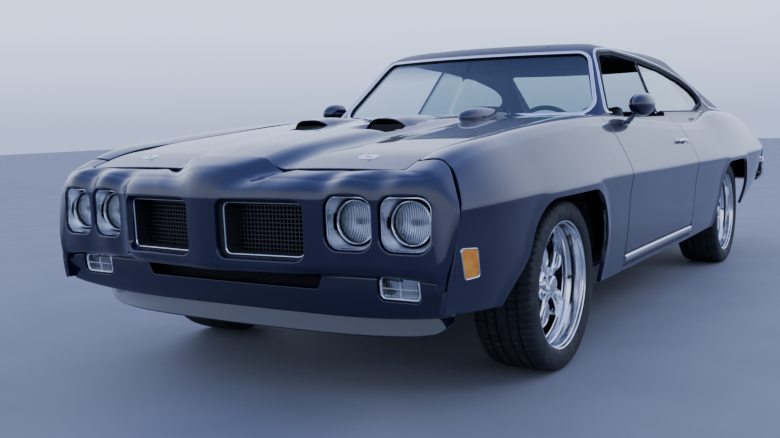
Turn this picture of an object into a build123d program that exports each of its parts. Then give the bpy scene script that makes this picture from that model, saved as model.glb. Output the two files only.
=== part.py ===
"""A two-door hardtop muscle car of about 1970, in millimetres.

The origin is on the floor under the middle of the car. +Z is up, the nose points along -Y,
and the left-hand side, where the driver sits, is +X.
"""

from build123d import *
import os
from math import cos, radians, sin

os.makedirs("parts", exist_ok=True)

# Driving dimensions of the whole car
LENGTH = 5154
WHEELBASE = 2845
FRONT_OVERHANG = 1000
NOSE_Y = -LENGTH / 2
TAIL_Y = LENGTH / 2
FRONT_AXLE_Y = NOSE_Y + FRONT_OVERHANG
REAR_AXLE_Y = FRONT_AXLE_Y + WHEELBASE
AXLE_Z = 325

# Gaps and walls
SHUT_LINE = 5
LID_FRONT_GAP = 9
SKIN = 18
TOUCH = 0.3

# Where one panel ends and the next begins, along the car
NOSE_SEAM_Y = -2420
HOOD_REAR_Y = -850
DOOR_FRONT_Y = -930
DOOR_REAR_Y = 250
DECK_FRONT_Y = 1640
DECK_REAR_Y = 2440
DECK_HALF = 620
SILL_TOP_Z = 352

# Outer side of the body: one row for each section along the car.
# y; top edge x, z; ridge x, z; crease x, z; lower panel x, z; bottom edge x, z
SIDE_SECTIONS = [
    (-2420, 702.5, 806, 795, 810, 893, 691, 885, 570, 842, 440),
    (-2250, 702.5, 852, 815, 862, 936, 699, 925, 560, 885, 400),
    (-1900, 702.5, 892, 825, 905, 963, 706, 945, 540, 900, 340),
    (-1577, 702.5, 922, 830, 932, 970, 709, 948, 520, 903, 300),
    (-1150, 702.5, 955, 828, 951, 962, 708, 940, 510, 903, 280),
    (-930, 735, 958, 822, 952, 958, 705, 935, 505, 902, 280),
    (-350, 772, 936, 828, 932, 951, 696, 928, 500, 900, 280),
    (250, 772, 912, 840, 908, 956, 692, 932, 500, 900, 280),
    (800, 765, 915, 838, 905, 970, 690, 945, 505, 903, 290),
    (1268, 730, 968, 830, 955, 974, 689, 948, 520, 905, 310),
    (1640, 625, 972, 822, 952, 968, 688, 943, 520, 898, 350),
    (2200, 625, 925, 790, 905, 940, 688, 915, 540, 870, 400),
    (2480, 625, 868, 765, 852, 898, 688, 880, 560, 835, 430),
]

# Inner side of the doors: height and distance from the middle
DOOR_INNER = [(960, 772), (700, 800), (250, 800)]

# Wheel arches: half a rounded gate over each axle, measured from the axle's centre
ARCH_FRONT_FOOT = -520
ARCH_FRONT_SHOULDER = -400
ARCH_REAR_SIDE = 350
ARCH_FRONT_R = 320
ARCH_REAR_R = 230
FRONT_ARCH_TOP_Z = 677
REAR_ARCH_TOP_Z = 662

# Glass house: one loop for each height, from the waist to the crown of the roof.
# z; front middle y; front corner x, y; rear corner x, y; rear middle y
HOUSE_LOOPS = [
    (955, -835, 757, -700, 745, 1850, 1875),
    (1275, -545, 602, -380, 565, 1020, 1045),
    (1318, -430, 540, -290, 500, 830, 850),
    (1336, -200, 400, -120, 380, 560, 575),
]
PILLAR_WALL = 38
GLASS = 6
SCREEN_LOW = (700, 975)
SCREEN_HIGH = (566, 1262)
BACK_LOW = (664, 955)
BACK_HIGH = (515, 1262)
BACK_GLASS_FOOT = (1560, 972)
BACK_GLASS_HEAD = (1035, 1262)

# Outline of the side windows, y and z, clockwise from the foot of the front pillar
WINDOW_OUTLINE = [
    (-668, 950), (-372, 1268), (-150, 1284), (282, 1262), (690, 1226), (1053, 1170),
    (1237, 1117), (1320, 1052), (1263, 1000), (960, 950),
]
WINDOW_BAR_TOP_Y = 262
WINDOW_BAR_FOOT_Y = 152

# Hood: one row for each section along the car.
# y; edge z; flat x, z; bulge x, z; middle z
HOOD_SECTIONS = [
    (-2411, 803, 215, 806, 165, 846, 852),
    (-2100, 868, 275, 868, 205, 900, 905),
    (-1600, 919, 350, 922, 270, 948, 952),
    (-1150, 953, 400, 955, 320, 975, 979),
    (HOOD_REAR_Y, 960, 430, 964, 350, 980, 984),
]
HOOD_WALL = 22

# Front end: one section for each distance from the middle.
# x; rear top z; brow y, z; face top y, z; face foot y, z; rear foot z
NOSE_SECTIONS = [
    (0, 846, -2545, 806, -2577, 745, -2566, 478, 452),
    (55, 842, -2540, 802, -2575, 742, -2564, 478, 452),
    (95, 830, -2522, 792, -2566, 740, -2556, 480, 452),
    (200, 806, -2505, 782, -2562, 745, -2548, 482, 454),
    (400, 803, -2490, 780, -2540, 745, -2526, 486, 458),
    (470, 803, -2478, 778, -2508, 745, -2498, 490, 462),
    (650, 805, -2462, 779, -2486, 742, -2474, 490, 462),
    (800, 800, -2440, 779, -2462, 738, -2452, 486, 455),
    (858, 740, -2424, 728, -2440, 706, -2436, 500, 470),
    (886, 698, -2421, 696, -2424, 690, -2423, 600, 580),
]

# Openings in the front end: centre x, z, width, height, corner radius
GRILLE_HOLE = (228, 618, 330, 196, 30)
INNER_LAMP_HOLE = (539, 645, 164, 176, 42)
OUTER_LAMP_HOLE = (730, 645, 172, 176, 42)

# Wheels and tyres
RIM_LIP_R = 242
RIM_BARREL_R = 229
RIM_INSIDE_R = 216
TYRE_R = 325
TYRE_WIDTH = 245
FRONT_TRACK = 1549
REAR_TRACK = 1538
HUB_BORE_R = 20
SPOKES = 5
KINGPIN_X = 700
KNUCKLE_Z = (238, 412)

PARTS = []


def finish(builder, label):
    """Give a finished piece its name and write it."""
    builder.part.label = label
    export_step(builder.part, f"parts/{label}.step")
    PARTS.append(label)


def lofted(sections):
    """A straight-sided loft through closed outlines, each with the plane that it lies on."""
    with BuildPart() as body:
        for plane, points in sections:
            with BuildSketch(plane):
                with BuildLine():
                    Polyline(*points, close=True)
                make_face()
        loft(ruled=True)
    return body.part


def prism(plane, points, depth, both=False):
    """A closed outline drawn on a plane and given a depth."""
    with BuildPart() as body:
        with BuildSketch(plane):
            with BuildLine():
                Polyline(*points, close=True)
            make_face()
        extrude(amount=depth, both=both)
    return body.part


def block(x0, x1, y0, y1, z0, z1):
    """A box from its lowest to its highest corner."""
    with BuildPart(Plane((x0, y0, z0))) as body:
        Box(x1 - x0, y1 - y0, z1 - z0, align=(Align.MIN, Align.MIN, Align.MIN))
    return body.part


def both_sides(part):
    """A left-hand piece and its mirror image."""
    return [part, mirror(part, about=Plane.YZ)]


# Outer side of the body, as two lofts: the whole side, and the side less its skin
def side_loft(inset, inner_x):
    """The side of the body from its outer surface, moved in by inset, to the plane inner_x."""
    sections = []
    for y, top_x, top_z, ridge_x, ridge_z, crease_x, crease_z, low_x, low_z, foot_x, foot_z in SIDE_SECTIONS:
        outline = [
            (inner_x, top_z - inset),
            (top_x, top_z - inset),
            (ridge_x - inset * 0.6, ridge_z - inset),
            (crease_x - inset, crease_z),
            (low_x - inset, low_z),
            (foot_x - inset, foot_z - inset),
            (inner_x, foot_z - inset),
        ]
        sections.append((Plane.XZ.offset(-y), outline))
    return lofted(sections)


side_whole = side_loft(0, 600)
side_inside = side_loft(SKIN, 590)


def arch(axle_y, top_z):
    """What a wheel arch takes out of the side of the body."""
    with BuildPart() as opening:
        with BuildSketch(Plane.YZ.offset(560)):
            with BuildLine():
                gate = Polyline(
                    (axle_y + ARCH_FRONT_FOOT, 150),
                    (axle_y + ARCH_FRONT_SHOULDER, top_z),
                    (axle_y + ARCH_REAR_SIDE, top_z),
                    (axle_y + ARCH_REAR_SIDE, 150),
                    close=True,
                )
            make_face()
            corners = vertices().group_by(Axis.Y)[-1].sort_by(Axis.X)
            fillet(corners[0], ARCH_FRONT_R)
            fillet(corners[1], ARCH_REAR_R)
        extrude(amount=600)
    return opening.part


front_arch = arch(FRONT_AXLE_Y, FRONT_ARCH_TOP_Z)
rear_arch = arch(REAR_AXLE_Y, REAR_ARCH_TOP_Z)


def house_loft(inset, drop):
    """The glass house from waist to crown, its walls moved in by inset and its top down by drop."""
    with BuildPart() as body:
        for row, (z, front_y, fx, fy, rx, ry, rear_y) in enumerate(HOUSE_LOOPS):
            lift = 0 if row == 0 else drop
            with BuildSketch(Plane.XY.offset(z - lift)):
                with BuildLine():
                    ThreePointArc((-fx + inset, fy + inset), (0, front_y + inset), (fx - inset, fy + inset))
                    Line((fx - inset, fy + inset), (rx - inset, ry - inset))
                    ThreePointArc((rx - inset, ry - inset), (0, rear_y - inset), (-rx + inset, ry - inset))
                    Line((-rx + inset, ry - inset), (-fx + inset, fy + inset))
                make_face()
        loft(ruled=True)
    return body.part


house_whole = house_loft(0, 0)
house_inside = house_loft(PILLAR_WALL, 30)
glass_outer = house_loft(10, 6)
glass_inner = house_loft(10 + GLASS, 6 + GLASS)


def window_trapezium(low, high, grow):
    """The four corners of a screen opening seen from the front, made larger all round by grow."""
    (low_x, low_z), (high_x, high_z) = low, high
    return [
        (-low_x - grow, low_z - grow), (low_x + grow, low_z - grow),
        (high_x + grow, high_z + grow), (-high_x - grow, high_z + grow),
    ]


screen_hole = prism(Plane.XZ.offset(200), window_trapezium(SCREEN_LOW, SCREEN_HIGH, 0), 900)
back_hole = prism(Plane.XZ.offset(-2100), window_trapezium(BACK_LOW, BACK_HIGH, 0), 1250)
side_hole = prism(Plane.YZ.offset(-900), WINDOW_OUTLINE, 1800)

# Body panels
with BuildPart() as fender_left:
    add(side_whole)
    add(side_inside, mode=Mode.SUBTRACT)
    add(front_arch, mode=Mode.SUBTRACT)
    add(block(500, 1100, DOOR_FRONT_Y - SHUT_LINE / 2, 2600, 0, 1400), mode=Mode.SUBTRACT)
    add(block(500, 702.5, -2600, 2600, 0, 1400), mode=Mode.SUBTRACT)
finish(fender_left, "fender_left")

with BuildPart() as fender_right:
    mirror(fender_left.part, about=Plane.YZ)
finish(fender_right, "fender_right")

door_inner_edge = [(x, z) for z, x in DOOR_INNER]
door_cut = prism(
    Plane.XZ.offset(1000), [(500, 960), *door_inner_edge, (500, 250)], -1400
)
DOOR_SLANT = 22
door_end = prism(
    Plane.XY.offset(200),
    [
        (1100, DOOR_REAR_Y - SHUT_LINE / 2), (965, DOOR_REAR_Y - SHUT_LINE / 2),
        (770, DOOR_REAR_Y - SHUT_LINE / 2 - DOOR_SLANT), (500, DOOR_REAR_Y - 100),
        (500, 3000), (1100, 3000),
    ],
    900,
)
with BuildPart() as door_left:
    add(side_whole)
    add(block(500, 1100, -2600, DOOR_FRONT_Y + SHUT_LINE / 2, 0, 1400), mode=Mode.SUBTRACT)
    add(door_end, mode=Mode.SUBTRACT)
    add(block(500, 1100, -1000, 400, 0, SILL_TOP_Z + SHUT_LINE), mode=Mode.SUBTRACT)
    add(door_cut, mode=Mode.SUBTRACT)
    add(house_whole, mode=Mode.SUBTRACT)
finish(door_left, "door_left")

with BuildPart() as door_right:
    mirror(door_left.part, about=Plane.YZ)
finish(door_right, "door_right")

with BuildPart() as quarter_left:
    add(side_whole)
    add(side_inside, mode=Mode.SUBTRACT)
    add(rear_arch, mode=Mode.SUBTRACT)
    add(block(500, 1100, -2600, DOOR_REAR_Y + SHUT_LINE / 2, 0, 1400), mode=Mode.SUBTRACT)
    add(house_whole, mode=Mode.SUBTRACT)
    add(block(500, DECK_HALF + SHUT_LINE, 200, 2600, 0, 1400), mode=Mode.SUBTRACT)
finish(quarter_left, "quarter_left")

with BuildPart() as quarter_right:
    mirror(quarter_left.part, about=Plane.YZ)
finish(quarter_right, "quarter_right")

with BuildPart() as roof:
    add(house_whole)
    add(house_inside, mode=Mode.SUBTRACT)
    add(screen_hole, mode=Mode.SUBTRACT)
    add(back_hole, mode=Mode.SUBTRACT)
    add(side_hole, mode=Mode.SUBTRACT)
    add(block(-660, 660, -1000, 2100, 900, 975), mode=Mode.SUBTRACT)
finish(roof, "roof")

with BuildPart() as windshield:
    add(glass_outer)
    add(glass_inner, mode=Mode.SUBTRACT)
    add(
        prism(Plane.XZ.offset(200), window_trapezium(SCREEN_LOW, SCREEN_HIGH, -TOUCH), 900),
        mode=Mode.INTERSECT,
    )
finish(windshield, "windshield")

# The back window is a flat sheet between the sail panels
back_rise = BACK_GLASS_HEAD[1] - BACK_GLASS_FOOT[1]
with BuildPart() as back_glass:
    with BuildSketch(Plane.YZ.offset(-700)):
        with BuildLine():
            Polyline(
                BACK_GLASS_FOOT, BACK_GLASS_HEAD,
                (BACK_GLASS_HEAD[0] - GLASS, BACK_GLASS_HEAD[1] - GLASS),
                (BACK_GLASS_FOOT[0] - GLASS, BACK_GLASS_FOOT[1] - GLASS),
                close=True,
            )
        make_face()
    extrude(amount=1400)
    add(
        prism(Plane.XZ.offset(-2100), window_trapezium((638, 955), (512, 1262), -TOUCH), 1250),
        mode=Mode.INTERSECT,
    )
finish(back_glass, "back_glass")

quarter_pane = prism(
    Plane.YZ.offset(500),
    [(WINDOW_BAR_FOOT_Y, 958), (WINDOW_BAR_TOP_Y, 1258), (690, 1221), (1050, 1165),
     (1232, 1113), (1312, 1052), (1258, 1004), (960, 958)],
    400,
)
with BuildPart() as quarter_glass:
    add(glass_outer)
    add(glass_inner, mode=Mode.SUBTRACT)
    add(quarter_pane, mode=Mode.INTERSECT)
with BuildPart() as quarter_glass_pair:
    add(both_sides(quarter_glass.part))
finish(quarter_glass_pair, "quarter_glass")


# Lids
def hood_section(y, edge_z, flat_x, flat_z, bulge_x, bulge_z, middle_z, half):
    """Outline of the hood at one section, wall included."""
    top = [(-half, edge_z), (-flat_x, flat_z), (-bulge_x, bulge_z), (0, middle_z),
           (bulge_x, bulge_z), (flat_x, flat_z), (half, edge_z)]
    under = [(x, z - HOOD_WALL) for x, z in reversed(top)]
    return Plane.XZ.offset(-y), top + under


HOOD_HALF = 702.5 - SHUT_LINE
# Each scoop, from the middle outwards: x; mouth y; lip z; y and z where its top meets the hood
SCOOP_SECTIONS = [
    (92, -1690, 958, -1480, 958),
    (188, -1706, 974, -1330, 966),
    (283, -1690, 956, -1450, 948),
]
SCOOP_FOOT_Z = 925
SCOOP_MOUTH = (108, 267, -1760, -1640, 932, 960)
TACH_CENTRE = (330, -1100, 962)
TACH_RADII = (58, 130, 48)

with BuildPart() as hood:
    add(lofted([hood_section(*row, HOOD_HALF) for row in HOOD_SECTIONS]))
    scoop = lofted([
        (Plane.YZ.offset(x), [(mouth_y, SCOOP_FOOT_Z), (mouth_y, lip_z), (rear_y, rear_z), (rear_y, SCOOP_FOOT_Z)])
        for x, mouth_y, lip_z, rear_y, rear_z in SCOOP_SECTIONS
    ])
    add(both_sides(scoop))
    add(both_sides(block(*SCOOP_MOUTH)), mode=Mode.SUBTRACT)
    with BuildSketch(Plane.YZ.offset(TACH_CENTRE[0])):
        with BuildLine():
            EllipticalCenterArc(
                (TACH_CENTRE[1], TACH_CENTRE[2] - 10), TACH_RADII[1], TACH_RADII[2], 0, arc_size=180,
            )
            Line((TACH_CENTRE[1] - TACH_RADII[1], TACH_CENTRE[2] - 10),
                 (TACH_CENTRE[1] + TACH_RADII[1], TACH_CENTRE[2] - 10))
        make_face()
    extrude(amount=TACH_RADII[0], both=True)
finish(hood, "hood")

# y; edge z; middle z
DECK_SECTIONS = [
    (DECK_FRONT_Y + SHUT_LINE, 971, 980),
    (2000, 941, 955),
    (2280, 909, 922),
    (DECK_REAR_Y, 876, 885),
]
DECK_WALL = 22
with BuildPart() as decklid:
    add(lofted([
        (
            Plane.XZ.offset(-y),
            [(-DECK_HALF, edge), (0, middle), (DECK_HALF, edge),
             (DECK_HALF, edge - DECK_WALL), (0, middle - DECK_WALL), (-DECK_HALF, edge - DECK_WALL)],
        )
        for y, edge, middle in DECK_SECTIONS
    ]))
finish(decklid, "decklid")

with BuildPart() as rear_deck:
    add(block(-625, 625, 1200, 1545, 930, 944))
    add(block(-625, 625, 1545, DECK_FRONT_Y, 930, 966))
finish(rear_deck, "rear_deck")


# Front end
def rounded_hole(x, z, width, height, corner, y0=-2700, y1=-2300):
    """A round-cornered hole through the front end."""
    with BuildPart() as hole:
        with BuildSketch(Plane.XZ.offset(-y0)):
            with Locations((x, z)):
                RectangleRounded(width, height, corner)
        extrude(amount=y0 - y1)
    return hole.part


def nose_outline(rear_z, brow_y, brow_z, face_y, face_z, foot_y, foot_z, rear_foot_z):
    return [(NOSE_SEAM_Y, rear_z), (brow_y, brow_z), (face_y, face_z), (foot_y, foot_z),
            (NOSE_SEAM_Y, rear_foot_z)]


with BuildPart() as nose:
    add(both_sides(lofted([(Plane.YZ.offset(row[0]), nose_outline(*row[1:])) for row in NOSE_SECTIONS])))
    for hole in (GRILLE_HOLE, INNER_LAMP_HOLE, OUTER_LAMP_HOLE):
        for side in (1, -1):
            add(rounded_hole(side * hole[0], *hole[1:]), mode=Mode.SUBTRACT)
finish(nose, "nose")

# Plan of the valance and of the air dam below it: x and front y
VALANCE_PLAN = [(0, -2448), (500, -2432), (740, -2395), (830, -2330), (868, -2200), (878, -2070)]
DAM_PLAN = [(0, -2405), (480, -2385), (660, -2340), (740, -2270), (765, -2180)]


def strip(plan, wall, z0, z1):
    """A wall that follows a plan outline on both sides of the car, between two heights."""
    outer = [(-x, y) for x, y in reversed(plan[1:])] + plan
    inner = [(x * (1 - wall / 880), y + wall) for x, y in reversed(outer)]
    inner[0] = (outer[-1][0] - wall, outer[-1][1])
    inner[-1] = (outer[0][0] + wall, outer[0][1])
    return prism(Plane.XY.offset(z0), outer + inner, z1 - z0)


with BuildPart() as front_valance:
    add(strip(VALANCE_PLAN, 30, 305, 415))
    for side in (1, -1):
        add(block(*sorted((side * 420, side * 800)), -2418, -2380, 415, 458))
    add(side_whole, mode=Mode.SUBTRACT)
    add(mirror(side_whole, about=Plane.YZ), mode=Mode.SUBTRACT)
    for side in (1, -1):
        add(rounded_hole(side * 650, 413, 158, 72, 16, -2700, -2370), mode=Mode.SUBTRACT)
    add(front_arch, mode=Mode.SUBTRACT)
    add(mirror(front_arch, about=Plane.YZ), mode=Mode.SUBTRACT)
finish(front_valance, "front_valance")

with BuildPart() as air_dam:
    add(strip(DAM_PLAN, 12, 243, 305))
finish(air_dam, "air_dam")


def front_plate(hole, y0, y1, shrink=TOUCH):
    """A plate that fills a hole of the front end, between two depths, on both sides."""
    x, z, width, height, corner = hole
    return both_sides(rounded_hole(x, z, width - 2 * shrink, height - 2 * shrink, corner - shrink, y0, y1))


GRILLE_BAR = 5
GRILLE_PITCH = 33
x, z, width, height, corner = GRILLE_HOLE
with BuildPart() as one_grille:
    add(rounded_hole(x, z, width - 1, height - 1, corner, -2524, -2424))
    add(rounded_hole(x, z, width - 17, height - 17, corner - 8, -2540, -2400), mode=Mode.SUBTRACT)
    for column in range(9):
        across = x + (column - 4) * GRILLE_PITCH
        add(block(across - GRILLE_BAR / 2, across + GRILLE_BAR / 2, -2446, -2426, z - 92, z + 92))
    for row in range(5):
        up = z + (row - 2) * GRILLE_PITCH
        add(block(x - 158, x + 158, -2446, -2426, up - GRILLE_BAR / 2, up + GRILLE_BAR / 2))
with BuildPart() as grilles:
    add(both_sides(one_grille.part))
finish(grilles, "grilles")

# Lamps: a bezel and a round lamp in each of the four lamp holes
LAMP_R = 70
with BuildPart() as headlamp_bezels:
    for hole, depth in ((INNER_LAMP_HOLE, -2478), (OUTER_LAMP_HOLE, -2456)):
        x, z, width, height, corner = hole
        for side in (1, -1):
            add(rounded_hole(side * x, z, width - 1, height - 1, corner, depth, -2422))
            with Locations(Location((side * x, -2300, z), (90, 0, 0))):
                Cylinder(LAMP_R + TOUCH, 500, mode=Mode.SUBTRACT)
finish(headlamp_bezels, "headlamp_bezels")

with BuildPart() as headlamps:
    for hole, depth in ((INNER_LAMP_HOLE, -2466), (OUTER_LAMP_HOLE, -2444)):
        for side in (1, -1):
            with BuildSketch(Plane.XZ.offset(2410)):
                with Locations((side * hole[0], hole[1])):
                    Circle(LAMP_R)
            extrude(amount=-depth - 2410)
finish(headlamps, "headlamps")

with BuildPart() as parking_lamps:
    for side in (1, -1):
        add(rounded_hole(side * 650, 413, 157, 71, 15.5, -2408, -2372))
finish(parking_lamps, "parking_lamps")

FRONT_MARKER = (-2378, 539, 96, 84)
REAR_MARKER = (2300, 610, 150, 40)


def marker(y, z, length, height):
    """A marker lamp let into the side of the body."""
    lamp = block(840, 1000, y - length / 2, y + length / 2, z - height / 2, z + height / 2)
    with BuildPart() as body:
        add(side_loft(-4, 620))
        add(side_whole, mode=Mode.SUBTRACT)
        add(lamp, mode=Mode.INTERSECT)
    return body.part


with BuildPart() as side_markers:
    for place in (FRONT_MARKER, REAR_MARKER):
        add(both_sides(marker(*place)))
finish(side_markers, "side_markers")

# Rear end
with BuildPart() as tail_panel:
    add(block(-625, 625, DECK_REAR_Y + 10, 2480, 430, 862))
    add(block(-760, 760, 2480, 2506, 560, 840))
finish(tail_panel, "tail_panel")

BUMPER_PLAN = [(170, 2577), (600, 2570), (800, 2535), (890, 2470), (915, 2380)]
PLATE_HOLE_X = 89
PLATE_HOLE_Z = 560
PLATE_HOLE_R = 3.2
with BuildPart() as rear_bumper:
    outer = [(-x, y) for x, y in reversed(BUMPER_PLAN)] + BUMPER_PLAN
    inner = [(800, 2380), (800, 2455), (760, 2507), (-760, 2507), (-800, 2455), (-800, 2380)]
    add(prism(Plane.XY.offset(450), outer + inner, 175))
    add(side_whole, mode=Mode.SUBTRACT)
    add(mirror(side_whole, about=Plane.YZ), mode=Mode.SUBTRACT)
    for side in (1, -1):
        add(rounded_hole(side * 640, 545, 300, 86, 20, 2540, 2700), mode=Mode.SUBTRACT)
        with Locations(Location((side * PLATE_HOLE_X, 2560, PLATE_HOLE_Z), (90, 0, 0))):
            Cylinder(PLATE_HOLE_R, 60, mode=Mode.SUBTRACT)
finish(rear_bumper, "rear_bumper")

with BuildPart() as tail_lamps:
    for side in (1, -1):
        add(rounded_hole(side * 640, 545, 299, 85, 19.5, 2540, 2562))
finish(tail_lamps, "tail_lamps")

# Under the doors
with BuildPart() as sills:
    sill = prism(
        Plane.XZ.offset(-(DOOR_FRONT_Y - SHUT_LINE / 2)),
        [(700, 262), (893, 262), (905, 290), (905, SILL_TOP_Z), (700, SILL_TOP_Z)],
        -(DOOR_REAR_Y - DOOR_FRONT_Y + SHUT_LINE),
    )
    add(both_sides(sill))
finish(sills, "sills")

with BuildPart() as rocker_trim:
    add(both_sides(block(905, 915, -920, 240, 312, 347)))
finish(rocker_trim, "rocker_trim")

# Floor, bulkhead and what stands on them
TUNNEL = [(-150, 304), (-110, 440), (110, 440), (150, 304)]
TUNNEL_INSIDE = [(-144, 250), (-105, 434), (105, 434), (144, 250)]
CABIN_FLOOR = [(-1120, 300), (-900, 262), (560, 262), (640, 330), (900, 330)]
FLOOR_SHEET = 4


def sheet(line, half_width):
    """A bent sheet of metal across the car, whose upper side is 4 mm over a line of y and z."""
    over = [(y, z + FLOOR_SHEET) for y, z in reversed(line)]
    return prism(Plane.YZ.offset(-half_width), line + over, 2 * half_width)


with BuildPart() as floor_pan:
    add(sheet(CABIN_FLOOR, 695))
    add(sheet([(900, 470), (1640, 470)], 590))
    add(sheet([(1640, 400), (2440, 400)], 590))
    add(block(-590, 590, 896, 900, 330, 474))
    add(block(-590, 590, 1640, 1644, 400, 474))
    add(prism(Plane.XZ.offset(1115), TUNNEL, -1760))
    add(prism(Plane.XZ.offset(1130), TUNNEL_INSIDE, -1785), mode=Mode.SUBTRACT)
finish(floor_pan, "floor_pan")

with BuildPart() as firewall:
    add(block(-700, 700, -1130, -1122, 330, 880))
    add(prism(
        Plane.YZ.offset(-700),
        [(-1130, 880), (-838, 880), (-838, 938), (-700, 938), (-700, 952), (-845, 952), (-845, 900),
         (-1130, 900)],
        1400,
    ))
    for side in (1, -1):
        add(block(*sorted((side * 702.5, side * 765)), -925, -780, SILL_TOP_Z, 950))
        add(block(*sorted((side * 695, side * 703)), -925, -780, SILL_TOP_Z, 900))
    add(block(-152, 152, -1140, -1110, 320, 446), mode=Mode.SUBTRACT)
finish(firewall, "firewall")

# The frame's rails on the left: side views, each between two distances from the middle
FRONT_RAIL = [(-2360, 255), (-1260, 255), (-1200, 165), (-1160, 165), (-1160, 345), (-2360, 345)]
CABIN_RAIL = [(-962, 165), (602, 165), (602, 250), (-962, 250)]
REAR_RAIL = [
    (800, 200), (930, 210), (1080, 375), (1500, 375), (1640, 300), (2400, 300), (2400, 385),
    (1635, 385), (1540, 460), (1050, 460), (905, 300), (800, 300),
]
# Plan views of the boxes that join the rails, front and rear
FRONT_TORQUE_BOX = [(370, -1190), (440, -1190), (690, -962), (610, -962), (370, -1160)]
REAR_TORQUE_BOX = [(610, 602), (690, 602), (560, 840), (490, 840), (490, 800)]
# y of each side, half the length, and lower and upper z, of each cross member
CROSS_MEMBERS = [
    (-2360, -2290, 400, 262, 338),
    (-1640, -1520, 371, 168, 242),
    (-420, -350, 620, 170, 242),
    (700, 760, 560, 170, 242),
    (2330, 2400, 495, 305, 380),
]
HITCH_HOLE_X = 150
HITCH_HOLE_Y = 2365
HITCH_HOLE_R = 6.5
with BuildPart() as frame:
    for outline, x0, x1 in ((FRONT_RAIL, 370, 440), (CABIN_RAIL, 610, 690), (REAR_RAIL, 490, 560)):
        add(both_sides(prism(Plane.YZ.offset(x0), outline, x1 - x0)))
    add(both_sides(prism(Plane.XY.offset(165), FRONT_TORQUE_BOX, 85)))
    add(both_sides(prism(Plane.XY.offset(165), REAR_TORQUE_BOX, 85)))
    add(both_sides(block(330, 371, -1640, -1520, 168, 345)))
    for y0, y1, half, z0, z1 in CROSS_MEMBERS:
        add(block(-half, half, y0, y1, z0, z1))
    with Locations((HITCH_HOLE_X, HITCH_HOLE_Y, 340), (-HITCH_HOLE_X, HITCH_HOLE_Y, 340)):
        Cylinder(HITCH_HOLE_R, 200, mode=Mode.SUBTRACT)
finish(frame, "frame")

# Wheelhouses: axle y, inner x, outer x and radius of each arched shell on the left
WHEELHOUSES = [(FRONT_AXLE_Y, 470, 868, 405), (REAR_AXLE_Y, 594, 868, 400)]
WHEELHOUSE_WALL = 4


def arched_shell(axle_y, x0, x1, radius):
    """The upper part of a thin tube about an axle."""
    with BuildPart() as shell:
        with BuildSketch(Plane.YZ.offset(x0)):
            with Locations((axle_y, AXLE_Z)):
                Circle(radius + WHEELHOUSE_WALL)
                Circle(radius, mode=Mode.SUBTRACT)
        extrude(amount=x1 - x0)
        add(block(400, 900, axle_y - 500, axle_y + 500, -100, AXLE_Z + 90), mode=Mode.SUBTRACT)
    return shell.part


with BuildPart() as wheelhouses:
    for row in WHEELHOUSES:
        add(both_sides(arched_shell(*row)))
finish(wheelhouses, "wheelhouses")

with BuildPart() as radiator:
    add(block(-330, 330, -2270, -2200, 330, 800))
finish(radiator, "radiator")

with BuildPart() as engine:
    add(block(-290, 290, -1980, -1250, 470, 770))
    add(block(-120, 120, -1960, -1270, 250, 470))
    with Locations((0, -1600, 812)):
        Cylinder(170, 84)
finish(engine, "engine")

with BuildPart() as driveline:
    with BuildSketch(Plane.XZ.offset(1245)):
        with Locations((0, 335)):
            Circle(85)
    extrude(amount=-495)
    with BuildSketch(Plane.XZ.offset(750)):
        with Locations((0, 285)):
            Circle(36)
    extrude(amount=-1885)
finish(driveline, "driveline")

with BuildPart() as fuel_tank:
    add(block(-480, 480, 1700, 2300, 255, 395))
finish(fuel_tank, "fuel_tank")

# Exhaust pipe on the left, from the engine bay to its end under the bumper: x, y, z
PIPE_R = 26
PIPE_ROUTE = [
    (330, -1240, 136), (330, 1450, 136), (430, 1660, 200), (430, 2240, 203), (560, 2440, 235),
    (560, 2560, 238),
]
PIPE_BENDS = [160, 200, 200, 120]
with BuildPart() as exhaust_left:
    with BuildLine():
        FilletPolyline(*PIPE_ROUTE, radius=PIPE_BENDS)
    with BuildSketch(Plane.XZ.offset(1240)):
        with Locations((330, 136)):
            Circle(PIPE_R)
    sweep()
with BuildPart() as exhaust:
    add(both_sides(exhaust_left.part))
finish(exhaust, "exhaust")

with BuildPart() as rear_axle:
    with BuildSketch(Plane.YZ.offset(-640)):
        with Locations((REAR_AXLE_Y, AXLE_Z)):
            Circle(40)
    extrude(amount=1280)
    with BuildSketch(Plane.YZ.offset(-822)):
        with Locations((REAR_AXLE_Y, AXLE_Z)):
            Circle(HUB_BORE_R - TOUCH)
    extrude(amount=1644)
    with BuildSketch(Plane.XZ.offset(-(REAR_AXLE_Y - 110))):
        with Locations((0, AXLE_Z)):
            Circle(60)
    with BuildSketch(Plane.XZ.offset(-(REAR_AXLE_Y - 40))):
        with Locations((0, AXLE_Z)):
            Circle(118)
    loft()
    with BuildSketch(Plane.XZ.offset(-(REAR_AXLE_Y - 40))):
        with Locations((0, AXLE_Z)):
            Circle(118)
    extrude(amount=-110)
    add(both_sides(block(375, 425, 770, 1240, 255, 292)))
finish(rear_axle, "rear_axle")

ARM_GAP = 6
with BuildPart() as front_suspension:
    for side in (1, -1):
        for z0, z1 in ((KNUCKLE_Z[0] - ARM_GAP - 26, KNUCKLE_Z[0] - ARM_GAP),
                       (KNUCKLE_Z[1] + ARM_GAP, KNUCKLE_Z[1] + ARM_GAP + 22)):
            with BuildSketch(Plane.XY.offset(z0)):
                with BuildLine():
                    Polyline((side * 441, FRONT_AXLE_Y - 110), (side * 725, FRONT_AXLE_Y - 28),
                             (side * 725, FRONT_AXLE_Y + 28), (side * 441, FRONT_AXLE_Y + 110), close=True)
                make_face()
            extrude(amount=z1 - z0)
        add(block(side * 405 - 34, side * 405 + 34, FRONT_AXLE_Y - 120, FRONT_AXLE_Y + 120, 345, 445))
        add(block(*sorted((side * 440, side * 446)), FRONT_AXLE_Y - 110, FRONT_AXLE_Y + 110, 206, 440))
finish(front_suspension, "front_suspension")

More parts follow.
